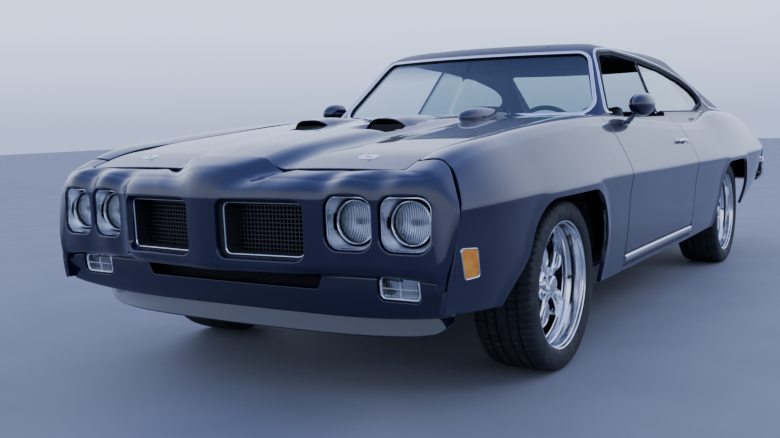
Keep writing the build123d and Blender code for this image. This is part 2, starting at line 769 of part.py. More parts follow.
with BuildPart() as knuckle_left:
    add(block(678, 736, FRONT_AXLE_Y - 42, FRONT_AXLE_Y + 42, *KNUCKLE_Z))
    with BuildSketch(Plane.YZ.offset(736)):
        with Locations((FRONT_AXLE_Y, AXLE_Z)):
            Circle(HUB_BORE_R - TOUCH)
    extrude(amount=94)
    add(block(680, 704, FRONT_AXLE_Y + 42, FRONT_AXLE_Y + 150, 250, 275))
finish(knuckle_left, "knuckle_left")

with BuildPart() as knuckle_right:
    mirror(knuckle_left.part, about=Plane.YZ)
finish(knuckle_right, "knuckle_right")

# Section of the tyre: distance from its middle plane, and radius
TYRE_HALF_SECTION = [(102, RIM_BARREL_R + 3), (102, RIM_LIP_R + 1), (113, RIM_LIP_R + 4), (122.5, 272),
                     (121, 298), (110, 315), (90, TYRE_R)]
RIM_HALF = 110.5
LIP_WALL = 8


def ring(x0, x1, outer, inner):
    """A ring about the X axis."""
    with BuildPart() as body:
        with BuildSketch(Plane.YZ.offset(x0)):
            Circle(outer)
            if inner:
                Circle(inner, mode=Mode.SUBTRACT)
        extrude(amount=x1 - x0)
    return body.part


with BuildPart() as tyre_blank:
    with BuildSketch(Plane.XY):
        with BuildLine():
            Polyline(*TYRE_HALF_SECTION, *[(-x, r) for x, r in reversed(TYRE_HALF_SECTION)], close=True)
        make_face()
    revolve(axis=Axis.X)

HUB_FACE_X = 62
with BuildPart() as wheel_blank:
    add(ring(-RIM_HALF, RIM_HALF, RIM_BARREL_R, RIM_INSIDE_R))
    add(ring(RIM_HALF - LIP_WALL, RIM_HALF, RIM_LIP_R, RIM_INSIDE_R))
    add(ring(-RIM_HALF, -RIM_HALF + LIP_WALL, RIM_LIP_R, RIM_INSIDE_R))
    add(ring(20, 60, 222, 200))
    with BuildSketch(Plane.YZ.offset(22)):
        with PolarLocations(0, SPOKES, start_angle=90):
            with Locations((130, 0)):
                Trapezoid(190, 78, 90, rotation=0)
    extrude(amount=34)
    add(ring(-32, HUB_FACE_X, 72, 0))
    add(ring(-32, -12, 150, 0))
    add(ring(-40, HUB_FACE_X - 4, HUB_BORE_R, 0), mode=Mode.SUBTRACT)

# Name, side of the car, distance from the middle, place along the car
WHEELS = [
    ("front_left", 1, FRONT_TRACK / 2, FRONT_AXLE_Y),
    ("front_right", -1, FRONT_TRACK / 2, FRONT_AXLE_Y),
    ("rear_left", 1, REAR_TRACK / 2, REAR_AXLE_Y),
    ("rear_right", -1, REAR_TRACK / 2, REAR_AXLE_Y),
]
for place, side, x, y in WHEELS:
    for kind, blank in (("tyre", tyre_blank), ("wheel", wheel_blank)):
        moved = Pos(x, y, AXLE_Z) * blank.part
        with BuildPart() as piece:
            add(moved if side > 0 else mirror(moved, about=Plane.YZ))
        finish(piece, f"{kind}_{place}")

# Cabin
with BuildPart() as dashboard:
    add(prism(Plane.YZ.offset(-680), [(-836, 700), (-700, 660), (-610, 720), (-600, 850), (-640, 905),
                                      (-836, 925)], 1360))
finish(dashboard, "dashboard")

STEER_X = 370
STEER_CENTRE = (STEER_X, -430, 835)
COLUMN_RAKE = 20
column_axis = Vector(0, cos(radians(COLUMN_RAKE)), sin(radians(COLUMN_RAKE)))
steer_plane = Plane(origin=STEER_CENTRE, x_dir=(1, 0, 0), z_dir=column_axis)
with BuildPart() as steering_wheel:
    with BuildSketch(steer_plane.offset(-8)):
        Circle(188)
        Circle(164, mode=Mode.SUBTRACT)
    extrude(amount=20)
    with BuildSketch(steer_plane.offset(-12)):
        Circle(46)
        with PolarLocations(0, 3, start_angle=-90):
            with Locations((105, 0)):
                Rectangle(130, 26)
    extrude(amount=16)
    with BuildSketch(steer_plane.offset(-60)):
        Circle(24)
    extrude(amount=50)
finish(steering_wheel, "steering_wheel")

with BuildPart() as steering_column:
    with BuildSketch(steer_plane.offset(-65)):
        Circle(32)
    extrude(amount=-560)
    add(dashboard.part, mode=Mode.SUBTRACT)
    add(firewall.part, mode=Mode.SUBTRACT)
finish(steering_column, "steering_column")

SEAT_X = 385
SEAT_HALF = 235
SEAT_SIDE = [(-290, 380), (-300, 500), (-270, 530), (150, 500), (330, 1020), (400, 1030), (300, 500),
             (230, 330), (-240, 330)]
with BuildPart() as front_seats:
    add(both_sides(prism(Plane.YZ.offset(SEAT_X - SEAT_HALF), SEAT_SIDE, 2 * SEAT_HALF)))
    for side in (1, -1):
        add(block(side * SEAT_X - 180, side * SEAT_X + 180, -220, 200, 266, 330))
finish(front_seats, "front_seats")

REAR_SEAT_SIDE = [(660, 480), (670, 520), (1080, 500), (1200, 900), (1290, 890), (1190, 480)]
with BuildPart() as rear_seat:
    add(prism(Plane.YZ.offset(-580), REAR_SEAT_SIDE, 1160))
    add(block(-580, 580, 690, 890, 336, 480))
finish(rear_seat, "rear_seat")

with BuildPart() as console:
    add(block(-100, 100, -560, 440, 441, 545))
    with Locations((20, -330, 600)):
        Cylinder(9, 112)
    with Locations((20, -330, 665)):
        Sphere(26)
finish(console, "console")

MIRROR_PLACE = (872, -560, 1003)
MIRROR_SECTIONS = [(-72, 18), (-40, 42), (10, 52), (62, 55)]
with BuildPart() as mirror_left:
    for y, radius in MIRROR_SECTIONS:
        with BuildSketch(Plane.XZ.offset(-(MIRROR_PLACE[1] + y))):
            with Locations((MIRROR_PLACE[0], MIRROR_PLACE[2])):
                Circle(radius)
    loft(ruled=True)
    add(block(840, 868, -600, -540, 900, 965))
    add(door_left.part, mode=Mode.SUBTRACT)
finish(mirror_left, "mirror_left")

with BuildPart() as mirror_right:
    mirror(mirror_left.part, about=Plane.YZ)
finish(mirror_right, "mirror_right")
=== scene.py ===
"""The finished look of a two-door hardtop muscle car, laid over its CAD model.

Metres, +Z up, the nose along -Y and the driver's left-hand side at +X. Tables are in millimetres.
"""

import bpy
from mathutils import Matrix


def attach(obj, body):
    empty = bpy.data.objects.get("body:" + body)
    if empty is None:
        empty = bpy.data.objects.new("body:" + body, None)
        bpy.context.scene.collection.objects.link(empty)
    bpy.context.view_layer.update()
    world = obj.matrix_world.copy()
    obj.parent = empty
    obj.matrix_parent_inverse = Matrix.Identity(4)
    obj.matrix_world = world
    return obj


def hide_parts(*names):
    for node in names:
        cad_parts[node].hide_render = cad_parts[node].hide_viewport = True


bl_info = {
    "name": "Hardtop muscle car",
    "version": (1, 0, 0),
    "blender": (4, 5, 0),
    "location": "3D View > Sidebar > Car",
    "description": "Builds the body, trim, wheels and cabin of a hardtop muscle car",
    "category": "Object",
}

import bpy
import bmesh
import math
import numpy as np
from bpy.props import FloatProperty, FloatVectorProperty, IntProperty, PointerProperty
from mathutils import Matrix, Vector
from mathutils.bvhtree import BVHTree

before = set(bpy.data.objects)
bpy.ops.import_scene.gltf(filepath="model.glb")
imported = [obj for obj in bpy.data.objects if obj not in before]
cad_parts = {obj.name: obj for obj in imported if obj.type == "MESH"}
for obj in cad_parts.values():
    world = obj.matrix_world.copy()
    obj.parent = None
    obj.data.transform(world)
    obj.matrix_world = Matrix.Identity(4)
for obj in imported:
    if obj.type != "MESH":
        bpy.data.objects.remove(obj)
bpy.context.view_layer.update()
MM = 0.001

# Places shared with the CAD model, in millimetres
FRONT_AXLE_Y, REAR_AXLE_Y, AXLE_Z = -1577, 1268, 325
HOOD_REAR_Y, DOOR_FRONT_Y, DOOR_REAR_Y = -850, -930, 250
DECK_FRONT_Y, DECK_REAR_Y, DECK_HALF = 1640, 2440, 620
HOOD_FRONT_Y, HOOD_HALF = -2411, 697.5
SILL_TOP_Z = 352
GAP = 5
ROLL = 2.5


# Reading colours
def linear(code):
    """An sRGB hex colour as the linear values that shaders use."""
    parts = [int(code[i:i + 2], 16) / 255 for i in (1, 3, 5)]
    return tuple(c / 12.92 if c <= 0.04045 else ((c + 0.055) / 1.055) ** 2.4 for c in parts) + (1.0,)


class CarSettings(bpy.types.PropertyGroup):
    """Colours and sizes that a user may change before the car is built."""
    body_colour: FloatVectorProperty(
        name="Body colour", description="Base colour of the enamel", subtype="COLOR", size=4,
        min=0, max=1, default=linear("#04041f"))
    roof_colour: FloatVectorProperty(
        name="Roof colour", description="Colour of the roof's grained vinyl", subtype="COLOR", size=4,
        min=0, max=1, default=linear("#26262e"))
    trim_colour: FloatVectorProperty(
        name="Seat colour", description="Colour of the seat vinyl", subtype="COLOR", size=4,
        min=0, max=1, default=linear("#17171a"))
    grille_bar: FloatProperty(
        name="Grille bar", description="Width of one bar of the grille mesh", subtype="DISTANCE",
        unit="LENGTH", default=0.0035, min=0.001, max=0.01)
    grille_pitch: FloatProperty(
        name="Grille pitch", description="Distance from one grille bar to the next", subtype="DISTANCE",
        unit="LENGTH", default=0.0145, min=0.005, max=0.05)
    tread_blocks: IntProperty(
        name="Tread blocks", description="Blocks round one tyre", default=72, min=20, max=120)
    floor_size: FloatProperty(
        name="Floor size", description="Side of the studio floor", subtype="DISTANCE",
        unit="LENGTH", default=60.0, min=10, max=200)


# Surfaces drawn through stations
def flow(knots, rows, at):
    """Smooth curves through rows at their knots, read at any places."""
    knots, rows, at = (np.asarray(v, float) for v in (knots, rows, at))
    slope = np.gradient(rows, knots, axis=0)
    i = np.clip(np.searchsorted(knots, at, side="right") - 1, 0, len(knots) - 2)
    shape = (-1,) + (1,) * (rows.ndim - 1)
    h = (knots[i + 1] - knots[i]).reshape(shape)
    u = ((at - knots[i]) / h.reshape(-1)).reshape(shape)
    return ((2 * u**3 - 3 * u**2 + 1) * rows[i] + (u**3 - 2 * u**2 + u) * h * slope[i]
            + (3 * u**2 - 2 * u**3) * rows[i + 1] + (u**3 - u**2) * h * slope[i + 1])


class Form:
    """A surface through stations. Each station is a row of corners, eased over a length at each
    inner corner and crowned by a height between corners, or bowed along the car. a runs from station
    to station and b from corner to corner."""

    def __init__(self, knots, corners, ease, crown, lift=None, bow=None):
        self.knots = np.asarray(knots, float)
        self.corners = np.asarray(corners, float)
        count, across = self.corners.shape[:2]
        self.ease = np.broadcast_to(np.asarray(ease, float), (count, across))
        self.crown = np.broadcast_to(np.asarray(crown, float), (count, across - 1))
        self.lift, self.bow = lift, bow

    def bare(self, a, b):
        c = flow(self.knots, self.corners, a)
        e = flow(self.knots, self.ease, a)
        n, last = np.arange(len(a)), c.shape[1] - 1
        i = np.clip(np.floor(b).astype(int), 0, last - 1)
        u = (b - i)[:, None]
        p = c[n, i] * (1 - u) + c[n, i + 1] * u
        run = c[n, i + 1] - c[n, i]
        if last > 1:
            j = np.clip(np.rint(b).astype(int), 1, last - 1)
            back, ahead = c[n, j - 1] - c[n, j], c[n, j + 1] - c[n, j]
            wa = np.minimum(e[n, j] / np.linalg.norm(back, axis=1).clip(1e-6), 0.48)
            wb = np.minimum(e[n, j] / np.linalg.norm(ahead, axis=1).clip(1e-6), 0.48)
            t = ((b - j + wa) / (wa + wb).clip(1e-9))[:, None]
            t = np.clip(t, 0, 1)
            q = c[n, j] + back * wa[:, None] * (1 - t) ** 2 + ahead * wb[:, None] * t**2
            p = np.where((t > 0) & (t < 1), q, p)
        return p, run, i

    def at(self, a, b):
        """Points in metres."""
        a, b = np.asarray(a, float), np.asarray(b, float)
        step = (self.knots[-1] - self.knots[0]) * 0.004
        p, run, i = self.bare(a, b)
        along = self.bare(a + step, b)[0] - self.bare(a - step, b)[0]
        out = np.cross(run, along)
        length = np.linalg.norm(out, axis=1, keepdims=True)
        out = out / np.where(length < 1e-6, 1, length)
        u = b - i
        height = flow(self.knots, self.crown, a)[np.arange(len(a)), i] * 4 * u * (1 - u)
        p = p + out * height[:, None]
        if self.bow is not None:
            p[:, 1] += flow(self.knots, self.bow, a)[np.arange(len(a)), i] * 4 * u * (1 - u)
        if self.lift is not None:
            p = self.lift(p)
        return p * MM


# Outlines and distances to them
def filleted(points, radii, steps=10):
    """A closed outline whose corners are rounded, as points."""
    points = [Vector(p) for p in points]
    radii = [radii] * len(points) if isinstance(radii, (int, float)) else radii
    out = []
    for k, (corner, radius) in enumerate(zip(points, radii)):
        to_a = (points[k - 1] - corner).normalized()
        to_b = (points[(k + 1) % len(points)] - corner).normalized()
        half = math.acos(max(-1, min(1, to_a.dot(to_b)))) / 2
        if radius <= 0 or half > 1.55:
            out.append(tuple(corner))
            continue
        centre = corner + (to_a + to_b).normalized() * (radius / math.sin(half))
        reach = radius / math.tan(half)
        v1, v2 = corner + to_a * reach - centre, corner + to_b * reach - centre
        turn = math.pi - 2 * half
        for s in range(steps + 1):
            t = s / steps
            out.append(tuple(centre + (v1 * math.sin((1 - t) * turn) + v2 * math.sin(t * turn)) / math.sin(turn)))
    return out


def distance(outline, u, v):
    """How far each point lies outside a closed outline; less than nothing inside."""
    poly = np.asarray(outline, float)
    a, b = poly, np.roll(poly, -1, axis=0)
    best = np.full(len(u), 1e9)
    inside = np.zeros(len(u), bool)
    for (ax, ay), (bx, by) in zip(a, b):
        ex, ey = bx - ax, by - ay
        length = ex * ex + ey * ey
        if length < 1e-18:
            continue
        t = np.clip(((u - ax) * ex + (v - ay) * ey) / length, 0, 1)
        best = np.minimum(best, np.hypot(u - ax - t * ex, v - ay - t * ey))
        if ay != by:
            inside ^= ((ay > v) != (by > v)) & (u < ex * (v - ay) / ey + ax)
    return np.where(inside, -best, best)


def round_box(x, z, width, height, corner):
    """A round-cornered rectangle, in metres, from millimetres."""
    w, h = width / 2, height / 2
    return np.array(filleted([(x - w, z - h), (x + w, z - h), (x + w, z + h), (x - w, z + h)], corner)) * MM


# Pressed panels
def laid_grid(a_values, b_values):
    """A flat mesh grid. Each point keeps its place on a form in two layers."""
    bm = bmesh.new()
    m, n = len(a_values) - 1, len(b_values) - 1
    bmesh.ops.create_grid(bm, x_segments=m, y_segments=n, size=0.5)
    la, lb = bm.verts.layers.float.new("a"), bm.verts.layers.float.new("b")
    for v in bm.verts:
        v[la] = a_values[round((v.co.x + 0.5) * m)]
        v[lb] = b_values[round((v.co.y + 0.5) * n)]
    bmesh.ops.reverse_faces(bm, faces=bm.faces)
    return bm


def layers(bm):
    a, b = bm.verts.layers.float["a"], bm.verts.layers.float["b"]
    return np.array([v[a] for v in bm.verts], float), np.array([v[b] for v in bm.verts], float)


def settled(bm, form):
    """Put every point of the grid on the form."""
    for v, p in zip(bm.verts, form.at(*layers(bm))):
        v.co = p


def trimmed(bm, form, keep):
    """Cut the grid along the line where keep is nought, and drop what lies below it."""
    la, lb = bm.verts.layers.float["a"], bm.verts.layers.float["b"]
    ld = bm.verts.layers.float.new("d")
    bm.verts.index_update()
    verts = list(bm.verts)
    a, b = layers(bm)
    d = keep(form.at(a, b))
    pairs = np.array([(e.verts[0].index, e.verts[1].index) for e in bm.edges])
    cross = (d[pairs[:, 0]] > 0) != (d[pairs[:, 1]] > 0)
    ends = pairs[cross]
    if len(ends):
        a0, b0, a1, b1 = a[ends[:, 0]], b[ends[:, 0]], a[ends[:, 1]], b[ends[:, 1]]
        low, high = np.zeros(len(ends)), np.ones(len(ends))
        start = d[ends[:, 0]] > 0
        for _ in range(13):
            t = (low + high) / 2
            same = (keep(form.at(a0 + (a1 - a0) * t, b0 + (b1 - b0) * t)) > 0) == start
            low, high = np.where(same, t, low), np.where(same, high, t)
        t = (low + high) / 2
        moves = {}
        for k, (i, j) in enumerate(ends):
            for v, share in ((i, t[k]), (j, 1 - t[k])):
                if share < 0.3 and share < moves.get(v, (9,))[0]:
                    moves[v] = (share, a0[k] + (a1[k] - a0[k]) * t[k], b0[k] + (b1[k] - b0[k]) * t[k])
        for v, (_, at_a, at_b) in moves.items():
            a[v], b[v], d[v] = at_a, at_b, 0
        for v in verts:
            v[la], v[lb], v[ld] = a[v.index], b[v.index], d[v.index]
        edges = [e for e, c in zip(list(bm.edges), cross) if c]
        for e, share in zip(edges, t):
            v0, v1 = e.verts
            if d[v0.index] * d[v1.index] < 0:
                at_a = v0[la] + (v1[la] - v0[la]) * share
                at_b = v0[lb] + (v1[lb] - v0[lb]) * share
                new = bmesh.utils.edge_split(e, v0, share)[1]
                new[la], new[lb], new[ld] = at_a, at_b, 0
        bmesh.ops.connect_verts(bm, verts=[v for v in bm.verts if v[ld] == 0])
    else:
        for v in verts:
            v[ld] = d[v.index]
    flat = [f for f in bm.faces if all(v[ld] == 0 for v in f.verts)]
    gone = [f for f in bm.faces if sum(v[ld] for v in f.verts) < 0]
    if flat:
        centre = [(np.mean([v[la] for v in f.verts]), np.mean([v[lb] for v in f.verts])) for f in flat]
        side = keep(form.at(*np.array(centre).T))
        gone += [f for f, s in zip(flat, side) if s < 0]
    bmesh.ops.delete(bm, geom=gone, context="FACES")
    bmesh.ops.delete(bm, geom=[v for v in bm.verts if not v.link_faces], context="VERTS")


def hemmed(bm, roll, depth):
    """Turn the panel's edges in over a small radius, down to a depth, and close its back."""
    bm.normal_update()
    bm.verts.index_update()
    home = bm.verts.layers.int.new("home")
    for v in bm.verts:
        v[home] = v.index
    rim = [e for e in bm.edges if e.is_boundary]
    co = np.array([v.co for v in bm.verts])
    normal = np.array([v.normal for v in bm.verts])
    deep = np.broadcast_to(depth(co) if callable(depth) else depth, (len(co),))
    out = np.zeros_like(co)
    for e in rim:
        face = e.link_faces[0]
        way = (e.verts[1].co - e.verts[0].co).normalized().cross(face.normal)
        if way.dot((e.verts[0].co + e.verts[1].co) / 2 - face.calc_center_median()) < 0:
            way.negate()
        for v in e.verts:
            out[v.index] += way
    length = np.linalg.norm(out, axis=1, keepdims=True)
    out = out / np.where(length == 0, 1, length)
    made = bmesh.ops.duplicate(bm, geom=list(bm.faces))["geom"]
    shell = [g for g in made if isinstance(g, bmesh.types.BMVert)]
    bmesh.ops.reverse_faces(bm, faces=[g for g in made if isinstance(g, bmesh.types.BMFace)])
    for v in shell:
        k = v[home]
        v.co = co[k] - normal[k] * (roll + deep[k])
    stages = [(math.sin(t), 1 - math.cos(t), 0) for t in (math.pi / 6, math.pi / 3, math.pi / 2)] + [(1, 1, 1)]
    for side, down, wall in stages:
        made = bmesh.ops.extrude_edge_only(bm, edges=rim)["geom"]
        new = [g for g in made if isinstance(g, bmesh.types.BMVert)]
        for v in new:
            k = v[home]
            v.co = co[k] + out[k] * roll * side - normal[k] * (roll * down + deep[k] * wall)
        rim = [g for g in made if isinstance(g, bmesh.types.BMEdge) and g.is_boundary]
    for v in shell:
        if v.is_boundary:
            v.co = co[v[home]] + out[v[home]] * roll - normal[v[home]] * (roll + deep[v[home]])
    bmesh.ops.remove_doubles(bm, verts=new + [v for v in shell if v.is_boundary], dist=1e-5)


def pressed(form, a_values, b_values, roll, depth, keep=None):
    """A closed panel cut from a form."""
    bm = laid_grid(a_values, b_values)
    if keep:
        trimmed(bm, form, keep)
    settled(bm, form)
    hemmed(bm, roll, depth)
    return bm


def spaced(*runs):
    """Values from runs of (start, end, count), joined end to end."""
    values = [runs[0][0]]
    for start, end, count in runs:
        values += list(np.linspace(start, end, count + 1)[1:])
    return values


# Pieces
def piece(name, bm, slot, body, *nodes, sharp=40, looks=None, weighted=True):
    """Make an object of a finished mesh, and say what it rides on, stands for and is made of."""
    mesh = bpy.data.meshes.new(name)
    for layer in ("a", "b", "d"):
        if layer in bm.verts.layers.float:
            bm.verts.layers.float.remove(bm.verts.layers.float[layer])
    if "home" in bm.verts.layers.int:
        bm.verts.layers.int.remove(bm.verts.layers.int["home"])
    bm.to_mesh(mesh)
    bm.free()
    obj = bpy.data.objects.new(name, mesh)
    bpy.context.scene.collection.objects.link(obj)
    for look in looks or [slot]:
        mesh.materials.append(finish(look))
    mesh.shade_smooth()
    mesh.set_sharp_from_angle(angle=math.radians(sharp))
    if weighted:
        shade = obj.modifiers.new("even shading", "WEIGHTED_NORMAL")
        shade.keep_sharp = True
    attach(obj, body)
    if nodes:
        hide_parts(*nodes)
    return obj


def mirrored(bm):
    """A copy of a mesh on the other side of the car."""
    other = bm.copy()
    bmesh.ops.scale(other, vec=(-1, 1, 1), verts=other.verts)
    bmesh.ops.reverse_faces(other, faces=other.faces)
    return other


def pair(name, bm, slot, bodies, nodes=("", ""), **settings):
    """The same piece on the left and on the right."""
    right = mirrored(bm)
    made = []
    for side, mesh, body, node in zip(("left", "right"), (bm, right), bodies, nodes):
        made.append(piece(f"{name}_{side}", mesh, slot, body, *([node] if node else []), **settings))
    return made


def join(bm, other):
    """Add one mesh to another."""
    mesh = bpy.data.meshes.new("part")
    other.to_mesh(mesh)
    other.free()
    bm.from_mesh(mesh)
    bpy.data.meshes.remove(mesh)


def extruded_rings(rings, close_start=True, close_end=True, material=0):
    """A tube through closed rings of points, each with as many points as the first."""
    bm = bmesh.new()
    count = len(rings[0])
    place = bm.verts.layers.int.new("home")
    bmesh.ops.create_circle(bm, cap_ends=False, segments=count, radius=1)
    order = sorted(bm.verts, key=lambda v: math.atan2(v.co.y, v.co.x) % (2 * math.pi))
    for k, v in enumerate(order):
        v[place] = k
        v.co = rings[0][k]
    rim = list(bm.edges)
    if close_start:
        bmesh.ops.contextual_create(bm, geom=rim)
    for ring in rings[1:]:
        made = bmesh.ops.extrude_edge_only(bm, edges=rim)["geom"]
        for v in made:
            if isinstance(v, bmesh.types.BMVert):
                v.co = ring[v[place]]
        new = {v for v in made if isinstance(v, bmesh.types.BMVert)}
        rim = [g for g in made if isinstance(g, bmesh.types.BMEdge) and all(v in new for v in g.verts)]
    if close_end:
        bmesh.ops.contextual_create(bm, geom=rim)
    bmesh.ops.recalc_face_normals(bm, faces=bm.faces)
    for f in bm.faces:
        f.material_index = material
    return bm


def turned(profile, axis_point, axis, steps=64, material=0, up=(0, 0, 1)):
    """Spin a line of (distance along the axis, radius) about an axis."""
    axis = Vector(axis).normalized()
    side = axis.cross(Vector(up)).normalized()
    bm = bmesh.new()
    verts = [bm.verts.new(Vector(axis_point) + axis * (x * MM) + side * (r * MM)) for x, r in profile]
    edges = [bm.edges.new(pair) for pair in zip(verts, verts[1:])]
    bmesh.ops.spin(bm, geom=verts + edges, cent=axis_point, axis=axis, angle=2 * math.pi, steps=steps,
                   use_merge=True)
    bmesh.ops.remove_doubles(bm, verts=bm.verts, dist=1e-6)
    bmesh.ops.recalc_face_normals(bm, faces=bm.faces)
    for f in bm.faces:
        f.material_index = material
    return bm


def swept(path, outward, profile, closed=False, material=0):
    """Carry a closed profile of (across, out) in millimetres along a path, kept upright by outward."""
    path = [Vector(p) for p in path]
    rings = []
    for k, p in enumerate(path):
        before = path[k - 1] if (k or closed) else p
        after = path[(k + 1) % len(path)] if (k < len(path) - 1 or closed) else p
        way = (after - before).normalized()
        up = Vector(outward(p) if callable(outward) else outward)
        up = (up - way * up.dot(way)).normalized()
        across = way.cross(up)
        rings.append([p + across * (x * MM) + up * (z * MM) for x, z in profile])
    if closed:
        rings.append(rings[0])
    bm = extruded_rings(rings, not closed, not closed, material)
    if closed:
        bmesh.ops.remove_doubles(bm, verts=bm.verts, dist=1e-6)
    return bm


def half_round(width, height, steps=6):
    """Profile of a trim strip: flat below, round above."""
    w = width / 2
    return [(w, -1)] + [
        (w * math.cos(t), height * math.sin(t)) for t in np.linspace(0, math.pi, steps + 1)
    ] + [(-w, -1)]


def rounded_block(x0, x1, y0, y1, z0, z1, radius, segments=3, material=0):
    """A block with rounded edges, in millimetres."""
    bm = bmesh.new()
    bmesh.ops.create_cube(bm, size=1)
    bmesh.ops.scale(bm, vec=((x1 - x0) * MM, (y1 - y0) * MM, (z1 - z0) * MM), verts=bm.verts)
    bmesh.ops.translate(bm, vec=((x0 + x1) / 2 * MM, (y0 + y1) / 2 * MM, (z0 + z1) / 2 * MM), verts=bm.verts)
    bmesh.ops.bevel(bm, geom=bm.edges, offset=radius * MM, affect="EDGES", segments=segments, profile=0.5,
                    material=-1)
    for f in bm.faces:
        f.material_index = material
    return bm


# Finishes
def put(tree, kind, inputs=None, **settings):
    """Add a node, set its options, and set or link its inputs."""
    made = tree.nodes.new(kind)
    for name, value in settings.items():
        setattr(made, name, value)
    for name, value in (inputs or {}).items():
        if isinstance(value, bpy.types.NodeSocket):
            tree.links.new(value, made.inputs[name])
        else:
            made.inputs[name].default_value = value
    return made


def coated(name, **inputs):
    """A new material with its surface shader and the object's own coordinates."""
    material = bpy.data.materials.new(name)
    material.use_nodes = True
    tree = material.node_tree
    tree.nodes.clear()
    surface = put(tree, "ShaderNodeBsdfPrincipled", {k.replace("_", " "): v for k, v in inputs.items()})
    put(tree, "ShaderNodeOutputMaterial", {"Surface": surface.outputs["BSDF"]})
    place = put(tree, "ShaderNodeTexCoord").outputs["Object"]
    return material, tree, surface, place


def varied(tree, place, scale, low, high, detail=2.0, middle=(0.35, 0.65)):
    """Noise of a given scale, spread between two values or colours."""
    noise = put(tree, "ShaderNodeTexNoise", {"Vector": place, "Scale": scale, "Detail": detail})
    spread = put(tree, "ShaderNodeMapRange", {"Value": noise.outputs[0], "From Min": middle[0],
                                              "From Max": middle[1]})
    if isinstance(low, tuple):
        return put(tree, "ShaderNodeMix", {"Factor": spread.outputs[0], 6: low, 7: high},
                   data_type="RGBA").outputs[2]
    spread.inputs["To Min"].default_value, spread.inputs["To Max"].default_value = low, high
    return spread.outputs[0]


def bumped(tree, surface, height, strength, depth):
    """Raise the surface by a height pattern; depth is in metres."""
    bump = put(tree, "ShaderNodeBump", {"Height": height, "Strength": strength, "Distance": depth})
    tree.links.new(bump.outputs[0], surface.inputs["Normal"])


def shade(colour, factor):
    """A lighter or darker version of a colour."""
    return tuple(min(1, c * factor) for c in colour[:3]) + (1.0,)


def enamel(name="midnight blue enamel"):
    """Sprayed enamel under clear lacquer: deep colour, mirror-like, with faint orange peel and fine flake."""
    colour = tuple(bpy.context.scene.car.body_colour)
    material, tree, surface, place = coated(name, Roughness=0.35, Specular_IOR_Level=0.1, Coat_Weight=1.0,
                                            Coat_Roughness=0.01, Coat_IOR=1.55)
    # Flake is about 0.1 mm across; 1.2 mm patches keep it visible
    tree.links.new(varied(tree, place, 850, colour, shade(colour, 1.7)), surface.inputs["Base Color"])
    # Orange peel has waves about 4 mm long and a few hundredths deep
    peel = put(tree, "ShaderNodeTexNoise", {"Vector": place, "Scale": 220.0, "Detail": 1.0})
    bumped(tree, surface, peel.outputs[0], 0.01, 0.0004)
    return material


def roof_vinyl():
    """Calendered vinyl with pressed grain: soft sheen, pebbles about 2 mm across."""
    colour = tuple(bpy.context.scene.car.roof_colour)
    material, tree, surface, place = coated("grained roof vinyl", Roughness=0.5, IOR=1.5, Sheen_Weight=0.1)
    grain = put(tree, "ShaderNodeTexVoronoi", {"Vector": place, "Scale": 420.0}, feature="SMOOTH_F1")
    tree.links.new(varied(tree, place, 60, colour, shade(colour, 1.6), 4.0), surface.inputs["Base Color"])
    bumped(tree, surface, grain.outputs[0], 0.5, 0.0008)
    return material


def seat_vinyl():
    """Black upholstery vinyl: fine leather grain, half gloss on the crowns."""
    colour = tuple(bpy.context.scene.car.trim_colour)
    material, tree, surface, place = coated("black upholstery vinyl", IOR=1.5)
    grain = put(tree, "ShaderNodeTexVoronoi", {"Vector": place, "Scale": 500.0}, feature="SMOOTH_F1")
    tree.links.new(varied(tree, place, 25, colour, shade(colour, 1.8), 4.0), surface.inputs["Base Color"])
    tree.links.new(varied(tree, place, 40, 0.36, 0.55, 3.0), surface.inputs["Roughness"])
    bumped(tree, surface, grain.outputs[0], 0.35, 0.0005)
    return material


def window_glass(name="tinted window glass", tint="#cfe0dc", rough=0.0, band=False):
    """Laminated soda glass: clear, a little green, smooth on both faces. A shaded band runs along its top."""
    material, tree, surface, place = coated(name, Base_Color=linear(tint), Roughness=rough, IOR=1.5,
                                            Transmission_Weight=1.0)
    if band:
        height = put(tree, "ShaderNodeSeparateXYZ", {0: place}).outputs[2]
        fade = put(tree, "ShaderNodeMapRange", {"Value": height, "From Min": 1.15, "From Max": 1.25})
        shaded = put(tree, "ShaderNodeMix", {"Factor": fade.outputs[0], 6: linear(tint), 7: linear("#4d6a80")},
                     data_type="RGBA")
        tree.links.new(shaded.outputs[2], surface.inputs["Base Color"])
    film = put(tree, "ShaderNodeTexNoise", {"Vector": place, "Scale": 3.0, "Detail": 2.0})
    bumped(tree, surface, film.outputs[0], 0.02, 0.001)
    return material


def lamp_glass():
    """Pressed lamp glass: clear, with vertical flutes about 6 mm apart on its inner face."""
    material, tree, surface, place = coated("fluted lamp glass", Base_Color=linear("#f2f7fb"), Roughness=0.0,
                                            IOR=1.5, Transmission_Weight=1.0)
    flutes = put(tree, "ShaderNodeTexWave", {"Vector": place, "Scale": 52.0, "Distortion": 0.6,
                                             "Detail": 1.0}, wave_type="BANDS", bands_direction="X")
    bumped(tree, surface, flutes.outputs[0], 0.6, 0.002)
    return material


def lens(name, code, glow):
    """Moulded acrylic lens: clear colour with rows of small prisms 5 mm apart."""
    material, tree, surface, place = coated(name, Roughness=0.12, IOR=1.49, Transmission_Weight=0.35,
                                            Coat_Weight=0.6)
    tree.links.new(varied(tree, place, 30, linear(code), linear(glow)), surface.inputs["Base Color"])
    prisms = put(tree, "ShaderNodeTexVoronoi", {"Vector": place, "Scale": 200.0, "Randomness": 0.0})
    bumped(tree, surface, prisms.outputs[0], 0.35, 0.001)
    return material


